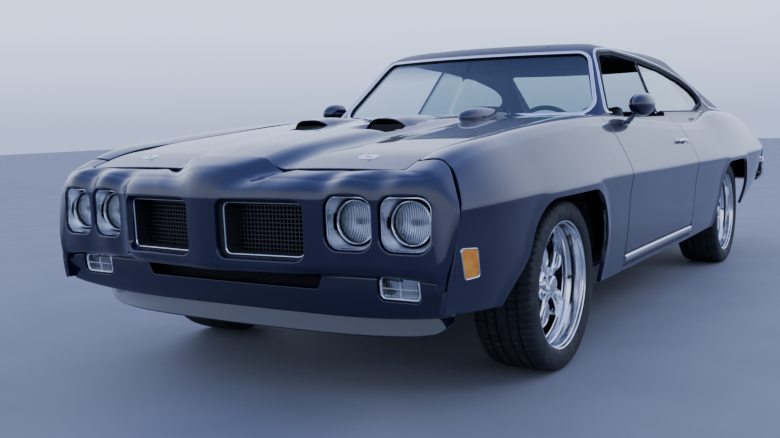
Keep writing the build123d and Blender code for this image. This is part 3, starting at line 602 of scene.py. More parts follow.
def plated(name, code, rough, streak=0.05, scale=18.0):
    """Polished or plated metal: a mirror with faint smears where it has been wiped."""
    material, tree, surface, place = coated(name, Base_Color=linear(code), Metallic=1.0)
    tree.links.new(varied(tree, place, scale, rough, rough + streak, 5.0), surface.inputs["Roughness"])
    ripple = put(tree, "ShaderNodeTexNoise", {"Vector": place, "Scale": 45.0, "Detail": 1.0})
    bumped(tree, surface, ripple.outputs[0], 0.02, 0.001)
    return material


def moulded(name, code, rough, grain=900.0, strength=0.25):
    """Moulded black plastic: even satin with a fine spark-eroded grain."""
    material, tree, surface, place = coated(name, IOR=1.5)
    base = linear(code)
    tree.links.new(varied(tree, place, 35, base, shade(base, 1.5), 4.0), surface.inputs["Base Color"])
    tree.links.new(varied(tree, place, 55, rough - 0.06, rough + 0.08, 3.0), surface.inputs["Roughness"])
    fine = put(tree, "ShaderNodeTexNoise", {"Vector": place, "Scale": grain, "Detail": 2.0})
    bumped(tree, surface, fine.outputs[0], strength, 0.0004)
    return material


def metalwork(name, code, rough, metallic, spots, scale=30.0):
    """Cast, painted or bare metal under the car: uneven, with stains and road dust."""
    material, tree, surface, place = coated(name, Metallic=metallic)
    tree.links.new(varied(tree, place, scale, linear(code), linear(spots), 6.0, (0.4, 0.75)),
                   surface.inputs["Base Color"])
    tree.links.new(varied(tree, place, scale * 2, rough - 0.1, rough + 0.15, 4.0), surface.inputs["Roughness"])
    sand = put(tree, "ShaderNodeTexNoise", {"Vector": place, "Scale": 400.0, "Detail": 3.0})
    bumped(tree, surface, sand.outputs[0], 0.2, 0.0006)
    return material


def tyre_rubber():
    """Carbon-black rubber: matt, dusty in the grooves, with faint rings from the mould."""
    material, tree, surface, place = coated("tyre rubber", IOR=1.5, Specular_IOR_Level=0.4)
    tree.links.new(varied(tree, place, 22, linear("#131314"), linear("#232325"), 5.0),
                   surface.inputs["Base Color"])
    tree.links.new(varied(tree, place, 50, 0.55, 0.75, 3.0), surface.inputs["Roughness"])
    fine = put(tree, "ShaderNodeTexNoise", {"Vector": place, "Scale": 600.0, "Detail": 2.0})
    bumped(tree, surface, fine.outputs[0], 0.3, 0.0005)
    return material


FINISHES = {
    "paint": enamel,
    "nose_paint": lambda: enamel("enamelled urethane"),
    "vinyl_roof": roof_vinyl,
    "glass": window_glass,
    "chrome": lambda: plated("chromium plate", "#d9dade", 0.05),
    "reflector": lambda: plated("aluminised reflector", "#f2f4f8", 0.4, 0.1),
    "polished": lambda: plated("polished aluminium", "#dfe0e3", 0.1, 0.08, 26.0),
    "black_plastic": lambda: moulded("moulded black plastic", "#101012", 0.42),
    "lamp_glass": lamp_glass,
    "amber": lambda: lens("amber acrylic", "#f08a10", "#ffb02a"),
    "red_lens": lambda: lens("red acrylic", "#8c0808", "#b81414"),
    "rubber": tyre_rubber,
    "chassis": lambda: metalwork("satin chassis enamel", "#18181a", 0.5, 0.0, "#2c2926"),
    "cast": lambda: metalwork("painted cast iron", "#2b4f74", 0.45, 0.1, "#26394c", 12.0),
    "steel": lambda: metalwork("bare steel tube", "#6a6a69", 0.42, 1.0, "#443c34"),
    "trim": seat_vinyl,
    # Near-black that paints the shade in cavities, pockets, gaps and bores; the tachometer's dial face wears it as its
    # own black
    "shadow": lambda: moulded("painted cavity shade and black dial face", "#060607", 0.8),
    "lens_black": lambda: moulded("instrument face", "#0b0b0c", 0.3),
    "header": lambda: moulded("black headlining", "#161618", 0.85, 300.0, 0.6),
    "shaded_glass": lambda: window_glass("windshield glass with a shaded band", band=True),
    "seal": lambda: moulded("window rubber", "#0d0d0e", 0.6),
    "mirror": lambda: plated("mirror glass", "#e6e9ec", 0.02, 0.01),
    "plate": lambda: plated("blank plate enamel", "#9a9ca0", 0.3),
    "pointer": lambda: moulded("pale pointer", "#d8d4c8", 0.5),
    "cast_iron": lambda: metalwork("brake iron", "#4a4846", 0.5, 0.8, "#2c2824"),
}
made_finishes = {}


def finish(name):
    """The material of a slot, made the first time it is asked for."""
    if name not in made_finishes:
        made_finishes[name] = FINISHES[name]()
    return made_finishes[name]


def eased(x, x0, x1):
    """A smooth rise from 0 at x0 to 1 at x1."""
    t = np.clip((np.asarray(x, float) - x0) / (x1 - x0), 0, 1)
    return t * t * (3 - 2 * t)


# The body's forms
# y; top edge x, z; ridge x, z; crease x, z; lower panel x, z; bottom edge x, z
SIDE_SECTIONS = [
    (-2520, 702.5, 790, 782, 792, 866, 690, 856, 570, 838, 380),
    (-2420, 702.5, 806, 795, 810, 893, 691, 885, 570, 852, 374),
    (-2250, 702.5, 852, 815, 862, 936, 699, 925, 560, 880, 360),
    (-1900, 702.5, 892, 825, 905, 963, 706, 945, 540, 900, 340),
    (-1577, 702.5, 922, 830, 932, 970, 709, 948, 520, 903, 300),
    (-1150, 702.5, 955, 828, 951, 962, 708, 940, 510, 903, 280),
    (-930, 735, 958, 822, 952, 958, 705, 935, 505, 902, 280),
    (-350, 772, 936, 828, 932, 951, 696, 928, 500, 900, 280),
    (250, 772, 912, 840, 908, 956, 692, 932, 500, 900, 280),
    (800, 765, 915, 838, 905, 970, 690, 945, 505, 903, 290),
    (1268, 730, 968, 830, 955, 974, 689, 948, 520, 905, 310),
    (1640, 625, 972, 822, 952, 968, 688, 943, 520, 898, 350),
    (2200, 625, 925, 790, 905, 940, 688, 915, 560, 876, 436),
    (2480, 625, 868, 765, 852, 898, 688, 884, 580, 862, 500),
]
SIDE_ROWS = [0, .12, .3, .5, .66, .78, .88, .96, 1.04, 1.12, 1.2, 1.3, 1.4, 1.5, 1.6, 1.7, 1.78, 1.85, 1.9,
             1.94, 1.97, 2.0, 2.03, 2.06, 2.1, 2.15, 2.22, 2.3, 2.4, 2.5, 2.6, 2.7, 2.8, 2.9, 3.0, 3.1, 3.2,
             3.3, 3.42, 3.55, 3.68, 3.8, 3.9, 4.0]
side_corners = [[(row[k], row[0], row[k + 1]) for k in range(1, 11, 2)] for row in SIDE_SECTIONS]
side = Form([row[0] for row in SIDE_SECTIONS], side_corners, ease=(0, 55, 14, 80, 0), crown=(5, 9, -5, 4))

# Height and y of the seam between nose and fender
NOSE_SEAM = [(440, -2452), (500, -2446), (570, -2430), (640, -2419), (697, -2411), (750, -2380), (830, -2332),
             (960, -2332)]


def seam_y(z):
    return np.interp(z, [z * MM for z, _ in NOSE_SEAM], [y * MM for _, y in NOSE_SEAM])


def seam_corners():
    """The corners of the side where the nose seam crosses them."""
    out = []
    for k, y in enumerate((-2332, -2332, -2411, -2430, -2456)):
        out.append(flow([row[0] for row in SIDE_SECTIONS], side_corners, [y])[0, k])
    # The nose ends at 455, higher than the fender
    share = (out[3][2] - 455) / (out[3][2] - out[4][2])
    out[4] = out[3] + (out[4] - out[3]) * share + (4, 0, 0)
    out[4][1] = -2454
    return [tuple(p) for p in out]


# Front end, from the middle outwards: rear top; brow; face top; face foot; rear foot; ease of the
# three inner corners. The first column is the distance along the face.
NOSE_STATIONS = [
    (0, (0, -2418.5, 852), (0, -2538, 812), (0, -2577, 745), (0, -2568, 480), (0, -2440, 452), 42, 30, 26),
    (36, (105, -2418.5, 850), (48, -2534, 809), (34, -2575, 743), (36, -2566, 480), (45, -2440, 452), 42, 28, 26),
    (66, (165, -2418.5, 843), (80, -2527, 801), (60, -2571, 741), (62, -2562, 480), (75, -2440, 452), 40, 26, 26),
    (104, (210, -2418.5, 810), (128, -2510, 786), (100, -2567, 741), (106, -2557, 481), (120, -2440, 452), 36, 24, 26),
    (228, (300, -2418.5, 804), (240, -2503, 782), (222, -2560, 744), (226, -2549, 483), (235, -2440, 454), 34, 24, 26),
    (365, (400, -2418.5, 803), (368, -2492, 780), (360, -2546, 744), (364, -2535, 486), (365, -2436, 458), 34, 24, 26),
    (442, (465, -2418.5, 803), (442, -2470, 774), (442, -2511, 741), (442, -2504, 489), (440, -2432, 461), 34, 24, 26),
    (539, (540, -2418.5, 804), (539, -2486, 788), (539, -2516, 752), (539, -2494, 491), (539, -2428, 463), 34, 24, 26),
    (634, (620, -2418.5, 805), (632, -2456, 777), (634, -2486, 741), (634, -2479, 491), (634, -2424, 463), 34, 24, 26),
    (730, (682, -2418.5, 806), (727, -2464, 787), (730, -2491, 750), (730, -2474, 489), (730, -2430, 460), 34, 24, 26),
    (820, (700, -2417, 806), (790, -2436, 790), (820, -2450, 738), (814, -2466, 488), (804, -2436, 456), 38, 24, 30),
    (885, (705, -2402, 809), (806, -2404, 808), (868, -2432, 712), (856, -2462, 506), (832, -2456, 450), 46, 20, 50),
]


def nose_form():
    rows = NOSE_STATIONS + [(945, *seam_corners(), 55, 14, 80)]
    rows = [(-row[0], *[(-x, y, z) for x, y, z in row[1:6]], *row[6:]) for row in reversed(rows[1:])] + rows
    return Form([r[0] for r in rows], [r[1:6] for r in rows], [(0, *r[6:], 0) for r in rows],
                (2, 2, 2, 0))


def tail_form():
    rear = [tuple(p) for p in flow([row[0] for row in SIDE_SECTIONS], side_corners, [2474])[0]]
    rows = [
        (0, (0, 2447, 884), (0, 2490, 864), (0, 2506, 700), (0, 2504, 560), (0, 2488, 486), 22, 60, 40),
        (300, (300, 2447, 881), (300, 2490, 862), (300, 2506, 700), (300, 2504, 560), (300, 2488, 486), 22, 60, 40),
        (560, (560, 2447, 875), (560, 2490, 858), (565, 2506, 698), (560, 2504, 560), (560, 2486, 486), 22, 60, 40),
        (760, (612, 2450, 871), (690, 2490, 850), (770, 2505, 694), (752, 2503, 560), (738, 2486, 486), 26, 50, 50),
        (870, (634, 2462, 868), (748, 2482, 850), (866, 2496, 690), (850, 2494, 560), (826, 2482, 490), 40, 24, 60),
        (920, (655, 2474, rear[0][2] - 4), *rear[1:], 55, 14, 80),
    ]
    rows = [(-row[0], *[(-x, y, z) for x, y, z in row[1:6]], *row[6:]) for row in reversed(rows[1:])] + rows
    # From the left to the right side, so that the outer face looks back
    return Form([r[0] for r in rows], [[(-x, y, z) for x, y, z in r[1:6]] for r in rows],
                [(0, *r[6:], 0) for r in rows], (1, 3, 1, 0))


# Hood. y; edge z; flat x, z; bulge x, z; middle z
HOOD_SECTIONS = [
    (-2411, 805, 215, 807, 165, 843, 852),
    (-2250, 849, 246, 848, 184, 879, 886),
    (-2100, 870, 275, 869, 205, 900, 905),
    (-1600, 919, 350, 922, 270, 948, 952),
    (-1150, 953, 400, 955, 320, 975, 979),
    (-850, 960, 430, 964, 350, 980, 984),
]
SCOOP_X, SCOOP_MOUTH_Y = (98, 277), -1700


def scoop_ramp(p):
    """The hood dips in front of each scoop's mouth and comes up again under the scoop."""
    x, y = abs(p[:, 0]), p[:, 1]
    across = eased(x, SCOOP_X[0] - 8, SCOOP_X[0] + 12) * (1 - eased(x, SCOOP_X[1] - 12, SCOOP_X[1] + 8))
    along = eased(y, -1880, SCOOP_MOUTH_Y - 10) * (1 - eased(y, -1600, -1480))
    p = p.copy()
    p[:, 2] -= 24 * across * along
    return p


def hood_corners(row):
    y, edge, flat_x, flat_z, bulge_x, bulge_z, middle = row
    left = [(HOOD_HALF, y, edge), (flat_x, y, flat_z), (bulge_x, y, bulge_z), (0, y, middle)]
    return [(-x, y, z) for x, y, z in left] + left[2::-1]


hood = Form([row[0] for row in HOOD_SECTIONS], [hood_corners(row) for row in HOOD_SECTIONS],
            ease=(0, 34, 30, 150, 30, 34, 0), crown=(4, 0, 1, 1, 0, 4), lift=scoop_ramp)


def hood_z(x, y):
    """Height of the hood without its ramps, in millimetres."""
    row = flow([r[0] for r in HOOD_SECTIONS], [r[1:] for r in HOOD_SECTIONS], [y])[0]
    edge, flat_x, flat_z, bulge_x, bulge_z, middle = row
    return float(np.interp(abs(x), [0, bulge_x, flat_x, HOOD_HALF], [middle, bulge_z, flat_z, edge]))


# Deck lid. y; edge z; middle z
DECK_SECTIONS = [(1640, 971, 980), (2000, 941, 955), (2280, 909, 922), (2440, 876, 885)]
deck = Form([row[0] for row in DECK_SECTIONS],
            [[(-625, y, e), (0, y, m), (625, y, e)] for y, e, m in DECK_SECTIONS],
            ease=(0, 400, 0), crown=(3, 3))

# Glass house, one loop for each height.
# place up the wall; z; front middle y; front corner x, y; rear corner x, y; rear middle y
HOUSE_LOOPS = [
    (0, 955, -835, 757, -700, 745, 1850, 1875),
    (180, 1118, -687, 678, -537, 653, 1427, 1452),
    (312, 1238, -579, 620, -417, 586, 1114, 1139),
    (356, 1276, -540, 600, -378, 563, 1016, 1042),
    (398, 1300, -492, 571, -335, 530, 915, 938),
    (446, 1317, -430, 530, -280, 492, 810, 830),
    (530, 1327.5, -330, 455, -195, 425, 680, 698),
    (650, 1333, -200, 340, -100, 330, 530, 542),
    (820, 1335.5, -50, 170, -10, 170, 330, 335),
    (985, 1336, 60, 0, 60, 0, 200, 200),
]


def house_form(loops):
    """The glass house as one surface that runs round from the windshield's middle and back."""
    corners, ease, crown, bows = [], [], [], []
    for _, z, front, fx, fy, rx, ry, rear in loops:
        corners.append([(0, front, z), (fx, fy, z), (rx, ry, z), (0, rear, z), (-rx, ry, z), (-fx, fy, z),
                        (0, front, z)])
        soft = min(1.0, fx / 500)
        ease.append([0, 46 * soft, 60 * soft, 0, 60 * soft, 46 * soft, 0])
        side_crown = 8 * min(1.0, max(0.0, (1317 - z) / 60))
        crown.append([0, side_crown, 0, 0, side_crown, 0])
        ahead, behind = (front - fy) / 4, (rear - ry) / 4
        bows.append([ahead, 0, behind, behind, 0, ahead])
    return Form([row[0] for row in loops], corners, ease, crown, bow=bows)


house = house_form(HOUSE_LOOPS)
SCREEN = filleted([(-700, 975), (700, 975), (566, 1262), (-566, 1262)], [40, 40, 70, 70])
BACK = filleted([(-668, 948), (668, 948), (514, 1258), (-514, 1258)], [0, 0, 80, 80])
WINDOW = filleted(
    [(-668, 950), (-372, 1268), (-150, 1283), (282, 1262), (690, 1226), (1053, 1170), (1237, 1117),
     (1322, 1056), (1263, 1000), (960, 950)],
    [20, 70, 400, 900, 900, 500, 220, 26, 60, 300], 6)


def outline(points):
    return np.array(points) * MM


def house_keep(p):
    x, y, z = p.T
    front = np.where(y < -0.2, distance(outline(SCREEN), x, z), 1)
    rear = np.where(y > 0.85, distance(outline(BACK), x, z), 1)
    flank = np.where(abs(x) > 0.5, distance(outline(WINDOW), y, z), 1)
    return np.minimum(np.minimum(front, rear), flank) - ROLL * MM


def house_depth(p):
    """The sail panels are as deep as the gap down to the sloping back window."""
    gap = (p[:, 1] - 1.56) * 0.483 + (p[:, 2] - 0.972) * 0.875
    return np.where((p[:, 1] > 0.9) & (p[:, 2] < 1.27), np.clip(gap + 0.016, 0.03, 0.14), 0.03)


# Wheel arches, as outlines of y and z about an axle
def arch_outline(axle, top, reach=0):
    """The front edge slopes, and reaches further forward at its foot by some millimetres."""
    return outline(filleted([(axle - 520 - 2 * reach, 150), (axle - 466 - reach, 386), (axle - 440, 500),
                             (axle - 400, top), (axle + 350, top), (axle + 350, 150)],
                            [0, 90, 90, 190, 230, 0], 16))


FRONT_ARCH, REAR_ARCH = arch_outline(FRONT_AXLE_Y, 677, 80), arch_outline(REAR_AXLE_Y, 662)
DOOR_SLANT = 22


def door_rear_y(p):
    """The door's rear edge leans forward above the shoulder."""
    return DOOR_REAR_Y * MM - np.interp(-abs(p[:, 0]), [-0.965, -0.77], [0, DOOR_SLANT * MM])


def flare(p):
    """The side with its wheel arch lips rolled a little outwards."""
    y, z = p[:, 1] * MM, p[:, 2] * MM
    near = np.minimum(distance(FRONT_ARCH, y, z), distance(REAR_ARCH, y, z))
    p = p.copy()
    p[:, 0] += 7 * (1 - eased(near, 0.0, 0.05))
    return p


GRILLE_HOLE = (228, 618, 330, 196, 34)
INNER_LAMP_HOLE = (539, 645, 164, 176, 46)
OUTER_LAMP_HOLE = (730, 645, 172, 176, 46)


# Laying trim and glass on the panels
surfaces = {}


def remember(name, form, a_values, b_values):
    """Keep a form's whole surface, so that trim can be laid on it."""
    bm = laid_grid(a_values, b_values)
    settled(bm, form)
    bm.normal_update()
    surfaces[name] = BVHTree.FromBMesh(bm)
    bm.free()


def laid_on(name, points, way, sink=0.0):
    """Points carried along a direction until they meet a surface, and then deeper by sink metres."""
    way, out = Vector(way).normalized(), []
    for p in points:
        hit = surfaces[name].ray_cast(Vector(p) - way * 4, way)[0]
        if hit is None:
            hit = surfaces[name].find_nearest(Vector(p))[0]
        out.append(hit + way * sink)
    return out


def outward_of(name, way):
    """The outward direction of a surface at any point, on the side that faces against way."""
    def find(p):
        normal = surfaces[name].find_nearest(p)[1]
        return -normal if normal.dot(Vector(way)) > 0 else normal
    return find


def resampled(points, count, closed=True):
    """The same line through evenly spaced points."""
    p = np.array(points, float)
    if closed:
        p = np.vstack([p, p[:1]])
    run = np.concatenate([[0], np.cumsum(np.linalg.norm(np.diff(p, axis=0), axis=1))])
    at = np.linspace(0, run[-1], count + 1)[:-1] if closed else np.linspace(0, run[-1], count)
    return np.array([np.interp(at, run, p[:, k]) for k in range(p.shape[1])]).T


def grown(points, amount):
    """A closed outline moved outwards by an amount, or inwards where it is less than nought."""
    p = np.array(points, float)
    edge = np.roll(p, -1, axis=0) - p
    edge /= np.linalg.norm(edge, axis=1, keepdims=True).clip(1e-9)
    side = np.stack([edge[:, 1], -edge[:, 0]], 1)
    out = side + np.roll(side, 1, axis=0)
    out /= (out * side).sum(1, keepdims=True).clip(0.5)
    turn = np.sum(p[:, 0] * np.roll(p[:, 1], -1) - p[:, 1] * np.roll(p[:, 0], -1))
    return p + out * amount * (1 if turn > 0 else -1)


def polar_ring(shape, x, z, count):
    """Points on an outline at even angles about a centre, in metres."""
    t = np.arange(count) * 2 * math.pi / count
    low, high = np.zeros(count), np.full(count, 0.6)
    for _ in range(24):
        middle = (low + high) / 2
        inside = distance(shape, x + middle * np.cos(t), z + middle * np.sin(t)) < 0
        low, high = np.where(inside, middle, low), np.where(inside, high, middle)
    return np.stack([x + low * np.cos(t), z + low * np.sin(t)], 1)


def patch(form, a_values, b_values, keep, sink, thickness, roll=0.0005):
    """A separate sheet cut from a form and sunk below it, closed all round."""
    bm = laid_grid(a_values, b_values)
    trimmed(bm, form, keep)
    settled(bm, form)
    bm.normal_update()
    moved = [v.co - v.normal * sink for v in bm.verts]
    for v, co in zip(bm.verts, moved):
        v.co = co
    hemmed(bm, roll, thickness)
    return bm


def coloured(bm, material):
    for f in bm.faces:
        f.material_index = material
    return bm


def lofted_plan(outlines):
    """A closed body through outlines of (x, y, z) points in millimetres."""
    return extruded_rings([[Vector(p) * MM for p in ring] for ring in outlines])


def section(x, y, z, half_w, half_h, count=24, power=2.6, plane="xz"):
    """A rounded cross-section in one of the main planes, in millimetres."""
    out = []
    for k in range(count):
        t = 2 * math.pi * k / count
        c, s = math.cos(t), math.sin(t)
        u = half_w * math.copysign(abs(c) ** (2 / power), c)
        v = half_h * math.copysign(abs(s) ** (2 / power), s)
        out.append((x + u, y, z + v) if plane == "xz" else (x, y + u, z + v) if plane == "yz" else (x + u, y + v, z))
    return out


def both_sides(bm):
    """The mesh and its mirror image as one."""
    join(bm, mirrored(bm))
    return bm


# Inner edges of the side panels' shoulders, the quarter's rear end, and the slanting cut of its rear top
# corner, in metres
FENDER_INNER, DOOR_INNER, QUARTER_INNER = 0.705, 0.7745, 0.6275
QUARTER_END, QUARTER_CUT, QUARTER_SLANT = 2.4715, 2.452, 0.56


# Operators
class BuildPanels(bpy.types.Operator):
    """Fenders, doors, quarter panels and sills"""
    bl_idname = "car.panels"
    bl_label = "Side panels"

    def execute(self, context):
        edge = (GAP / 2 + ROLL) * MM
        flared = Form(side.knots, side.corners, side.ease, side.crown, lift=flare)

        def fender(p):
            return np.minimum.reduce([
                p[:, 1] - seam_y(p[:, 2]) - edge, DOOR_FRONT_Y * MM - p[:, 1] - edge,
                p[:, 0] - FENDER_INNER, distance(FRONT_ARCH, p[:, 1], p[:, 2]) - ROLL * MM])

        def door(p):
            return np.minimum.reduce([
                p[:, 1] - DOOR_FRONT_Y * MM - edge, door_rear_y(p) - p[:, 1] - edge,
                p[:, 2] - (SILL_TOP_Z + GAP + ROLL) * MM, p[:, 0] - DOOR_INNER])

        def quarter(p):
            return np.minimum.reduce([
                p[:, 1] - door_rear_y(p) - edge, QUARTER_END - p[:, 1], p[:, 0] - QUARTER_INNER,
                QUARTER_CUT + (p[:, 0] - QUARTER_INNER) * QUARTER_SLANT - p[:, 1],
                distance(REAR_ARCH, p[:, 1], p[:, 2]) - ROLL * MM])

        def sill(p):
            return np.minimum.reduce([
                p[:, 1] - DOOR_FRONT_Y * MM + 0.001, DOOR_REAR_Y * MM - p[:, 1] + 0.001,
                SILL_TOP_Z * MM - p[:, 2] - ROLL * MM])

        remember("side", side, spaced((-2510, 2476, 420)), SIDE_ROWS)
        jobs = [
            ("fender", flared, (-2500, -920, 112), fender, ("body", "body"), ("fender_left", "fender_right"), 0.016),
            ("door", side, (-932, 256, 80), door, ("door_left", "door_right"), ("door_left", "door_right"), 0.05),
            ("quarter", flared, (220, 2476, 160), quarter, ("body", "body"), ("quarter_left", "quarter_right"), 0.016),
            ("sill", side, (-940, 260, 60), sill, ("body", "body"), ("", ""), 0.05),
        ]
        for name, form, (start, end, count), keep, bodies, nodes, depth in jobs:
            rows = SIDE_ROWS if name != "sill" else [r for r in SIDE_ROWS if r >= 3.3]
            bm = pressed(form, spaced((start, end, count)), rows, ROLL * MM, depth, keep)
            made = pair(f"{name}_skin", bm, "paint", bodies, nodes)
            if name == "sill":
                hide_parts("sills")
        return {"FINISHED"}


class BuildNose(bpy.types.Operator):
    """Body-coloured nose with its pockets for grilles and lamps"""
    bl_idname = "car.nose"
    bl_label = "Nose"

    def execute(self, context):
        form = nose_form()
        holes = [round_box(s * h[0], *h[1:]) for h in (GRILLE_HOLE, INNER_LAMP_HOLE, OUTER_LAMP_HOLE) for s in (1, -1)]

        def keep(p):
            x, y, z = p.T
            d = np.where(abs(x) > 0.69, seam_y(z) - y - 0.005, 1)
            for hole in holes:
                d = np.minimum(d, distance(hole, x, z) - 0.004)
            return d

        along, down = spaced((-945, 945, 260)), spaced((0, 1, 13), (1, 2, 9), (2, 3, 34), (3, 4, 9))
        remember("nose", form, along, down)
        bm = pressed(form, along, down, 0.004, 0.03, keep)
        piece("nose_skin", bm, "nose_paint", "body", "nose")
        return {"FINISHED"}


class BuildLids(bpy.types.Operator):
    """Hood with its scoops, and deck lid"""
    bl_idname = "car.lids"
    bl_label = "Hood and deck lid"

    def execute(self, context):
        across = spaced((0, 1, 18), (1, 2, 9), (2, 3, 20), (3, 4, 20), (4, 5, 9), (5, 6, 18))

        def hood_keep(p):
            return np.minimum.reduce([
                (HOOD_HALF - ROLL) * MM - abs(p[:, 0]), p[:, 1] - (HOOD_FRONT_Y + ROLL) * MM,
                (HOOD_REAR_Y - GAP - ROLL) * MM - p[:, 1]])

        plain = Form(hood.knots, hood.corners, hood.ease, hood.crown)
        remember("hood", plain, spaced((HOOD_FRONT_Y, HOOD_REAR_Y, 130)), across)
        bm = pressed(hood, spaced((HOOD_FRONT_Y, HOOD_REAR_Y, 130)), across, ROLL * MM, 0.018, hood_keep)
        piece("hood_skin", bm, "paint", "hood", "hood")

        def deck_keep(p):
            return np.minimum.reduce([
                (DECK_HALF - ROLL) * MM - abs(p[:, 0]), p[:, 1] - (DECK_FRONT_Y + GAP + ROLL) * MM,
                (DECK_REAR_Y - ROLL) * MM - p[:, 1]])

        bm = pressed(deck, spaced((DECK_FRONT_Y, DECK_REAR_Y, 64)), spaced((0, 2, 80)), ROLL * MM, 0.018, deck_keep)
        piece("decklid_skin", bm, "paint", "decklid", "decklid")

        form = tail_form()
        bm = pressed(form, spaced((-920, 920, 150)), spaced((0, 1, 8), (1, 2, 14), (2, 3, 12), (3, 4, 10)), 0.0015,
                     0.005)
        piece("tail_skin", bm, "paint", "body", "tail_panel")

        shelf = Form([1545, 1600, 1632], [[(-625, 1545, 968), (0, 1545, 972), (625, 1545, 968)],
                                          [(-625, 1600, 969), (0, 1600, 976), (625, 1600, 969)],
                                          [(-625, 1632, 971), (0, 1632, 979), (625, 1632, 971)]],
                     ease=(0, 400, 0), crown=(3, 3))
        bm = pressed(shelf, spaced((1545, 1632, 8)), spaced((0, 2, 80)), ROLL * MM, 0.02)
        piece("upper_deck_skin", bm, "paint", "body", "rear_deck")
        return {"FINISHED"}


class BuildHouse(bpy.types.Operator):
    """Roof, pillars and sail panels in grained vinyl"""
    bl_idname = "car.house"
    bl_label = "Roof and pillars"

    def execute(self, context):
        around = spaced((0, 1, 44), (1, 2, 118), (2, 3, 40), (3, 4, 40), (4, 5, 118), (5, 6, 44))
        up = spaced((0, 312, 24), (312, 400, 10), (400, 560, 12), (560, 985, 16))
        remember("house", house, up, around)
        bm = laid_grid(up, around)
        trimmed(bm, house, house_keep)
        settled(bm, house)
        bmesh.ops.remove_doubles(bm, verts=bm.verts, dist=2e-4)
        bmesh.ops.dissolve_degenerate(bm, edges=bm.edges, dist=1e-5)
        hemmed(bm, ROLL * MM, house_depth)
        bm.normal_update()
        for f in bm.faces:
            c = f.calc_center_median()
            inside = f.normal.dot(Vector((c.x, c.y - 0.3, c.z - 0.6))) < 0
            f.material_index = 2 if inside else 1 if (c.y < -0.3 and c.z < 1.262) else 0
        for x in (-0.36, 0.36):
            line = laid_on("house", [(x, y, 0) for y in np.linspace(-0.425, 0.965, 60)], (0, 0, -1))
            join(bm, swept(line, outward_of("house", (0, 0, -1)), half_round(9, 1.6)))
        piece("roof_skin", bm, "vinyl_roof", "body", "roof",
              looks=["vinyl_roof", "paint", "header"])
        return {"FINISHED"}


class BuildGrilles(bpy.types.Operator):
    """Grille tunnels with chrome rings and egg-crate mesh"""
    bl_idname = "car.grilles"
    bl_label = "Grilles"

    def execute(self, context):
        settings = context.scene.car
        hole = round_box(*GRILLE_HOLE)
        slope = 0.0909

        def depth_at(p, depth):
            return -2.571 + slope * (p[0] - 0.063) + depth

        def level(shape, depth):
            return [Vector((x, depth_at((x, z), depth), z)) for x, z in shape]

        def on_face(shape, depth):
            return laid_on("nose", [(x, 0, z) for x, z in shape], (0, 1, 0), depth)

        # The tunnel's walls take the near-black finish, painted shade inside the grille opening
        tunnel = extruded_rings([
            level(grown(hole, 0.003), 0.139), on_face(grown(hole, 0.003), 0.026), on_face(grown(hole, -0.0145), 0.034),
            level(grown(hole, -0.016), 0.06), level(grown(hole, -0.016), 0.136)], material=2)
        ring = swept(on_face(grown(hole, -0.012), 0.034), (0, -1, 0), half_round(7, 5), closed=True, material=1)
        mid_x, mid_z, width, height = (v * MM for v in GRILLE_HOLE[:4])
        width, height = width - 0.026, height - 0.026
        across, up = round(width / settings.grille_pitch), round(height / settings.grille_pitch)
        mesh = bmesh.new()
        bmesh.ops.create_grid(mesh, x_segments=across, y_segments=up, size=0.5)
        bmesh.ops.inset_individual(mesh, faces=mesh.faces, thickness=0.001)
        cells = [f for f in mesh.faces if all(not e.is_boundary and len(e.link_faces) == 2 for e in f.edges)
                 and all(len(v.link_edges) == 3 for v in f.verts)]
        pitch_x, pitch_z = 1 / across, 1 / up
        for f in cells:
            centre = f.calc_center_median()
            for v in f.verts:
                v.co.x = centre.x + math.copysign(pitch_x / 2 - settings.grille_bar / 2 / width, v.co.x - centre.x)
                v.co.y = centre.y + math.copysign(pitch_z / 2 - settings.grille_bar / 2 / height, v.co.y - centre.y)
        bmesh.ops.delete(mesh, geom=cells, context="FACES")
        made = bmesh.ops.extrude_face_region(mesh, geom=list(mesh.faces))["geom"]
        far = {v for v in made if isinstance(v, bmesh.types.BMVert)}
        for v in mesh.verts:
            x, z = v.co.x * width + mid_x, v.co.y * height + mid_z
            v.co = (x, depth_at((x, z), 0.108 if v in far else 0.094), z)
        bmesh.ops.recalc_face_normals(mesh, faces=mesh.faces)
        # A near-black plate behind the mesh, painted shade where one would otherwise see through
        back = extruded_rings([level(grown(hole, -0.014), 0.136), level(grown(hole, -0.014), 0.132)], material=2)
        for other in (ring, mesh, back):
            join(tunnel, other)
        piece("grille_pockets", both_sides(tunnel), "black_plastic", "body", "grilles",
              looks=["black_plastic", "chrome", "shadow"])
        return {"FINISHED"}


LAMPS = [(INNER_LAMP_HOLE, -2435), (OUTER_LAMP_HOLE, -2417)]
# In metres: depth of a lamp's housing; radius of the well round the lamp that is painted in shade, and how far in
# front of the lamp its painted shade begins; inset of the satin dish from the hole's edge
HOUSING_DEPTH, SHADED_WELL_RADIUS, PAINTED_SHADE_START, DISH_INSET = 0.14, 0.0784, 0.0045, 0.0091


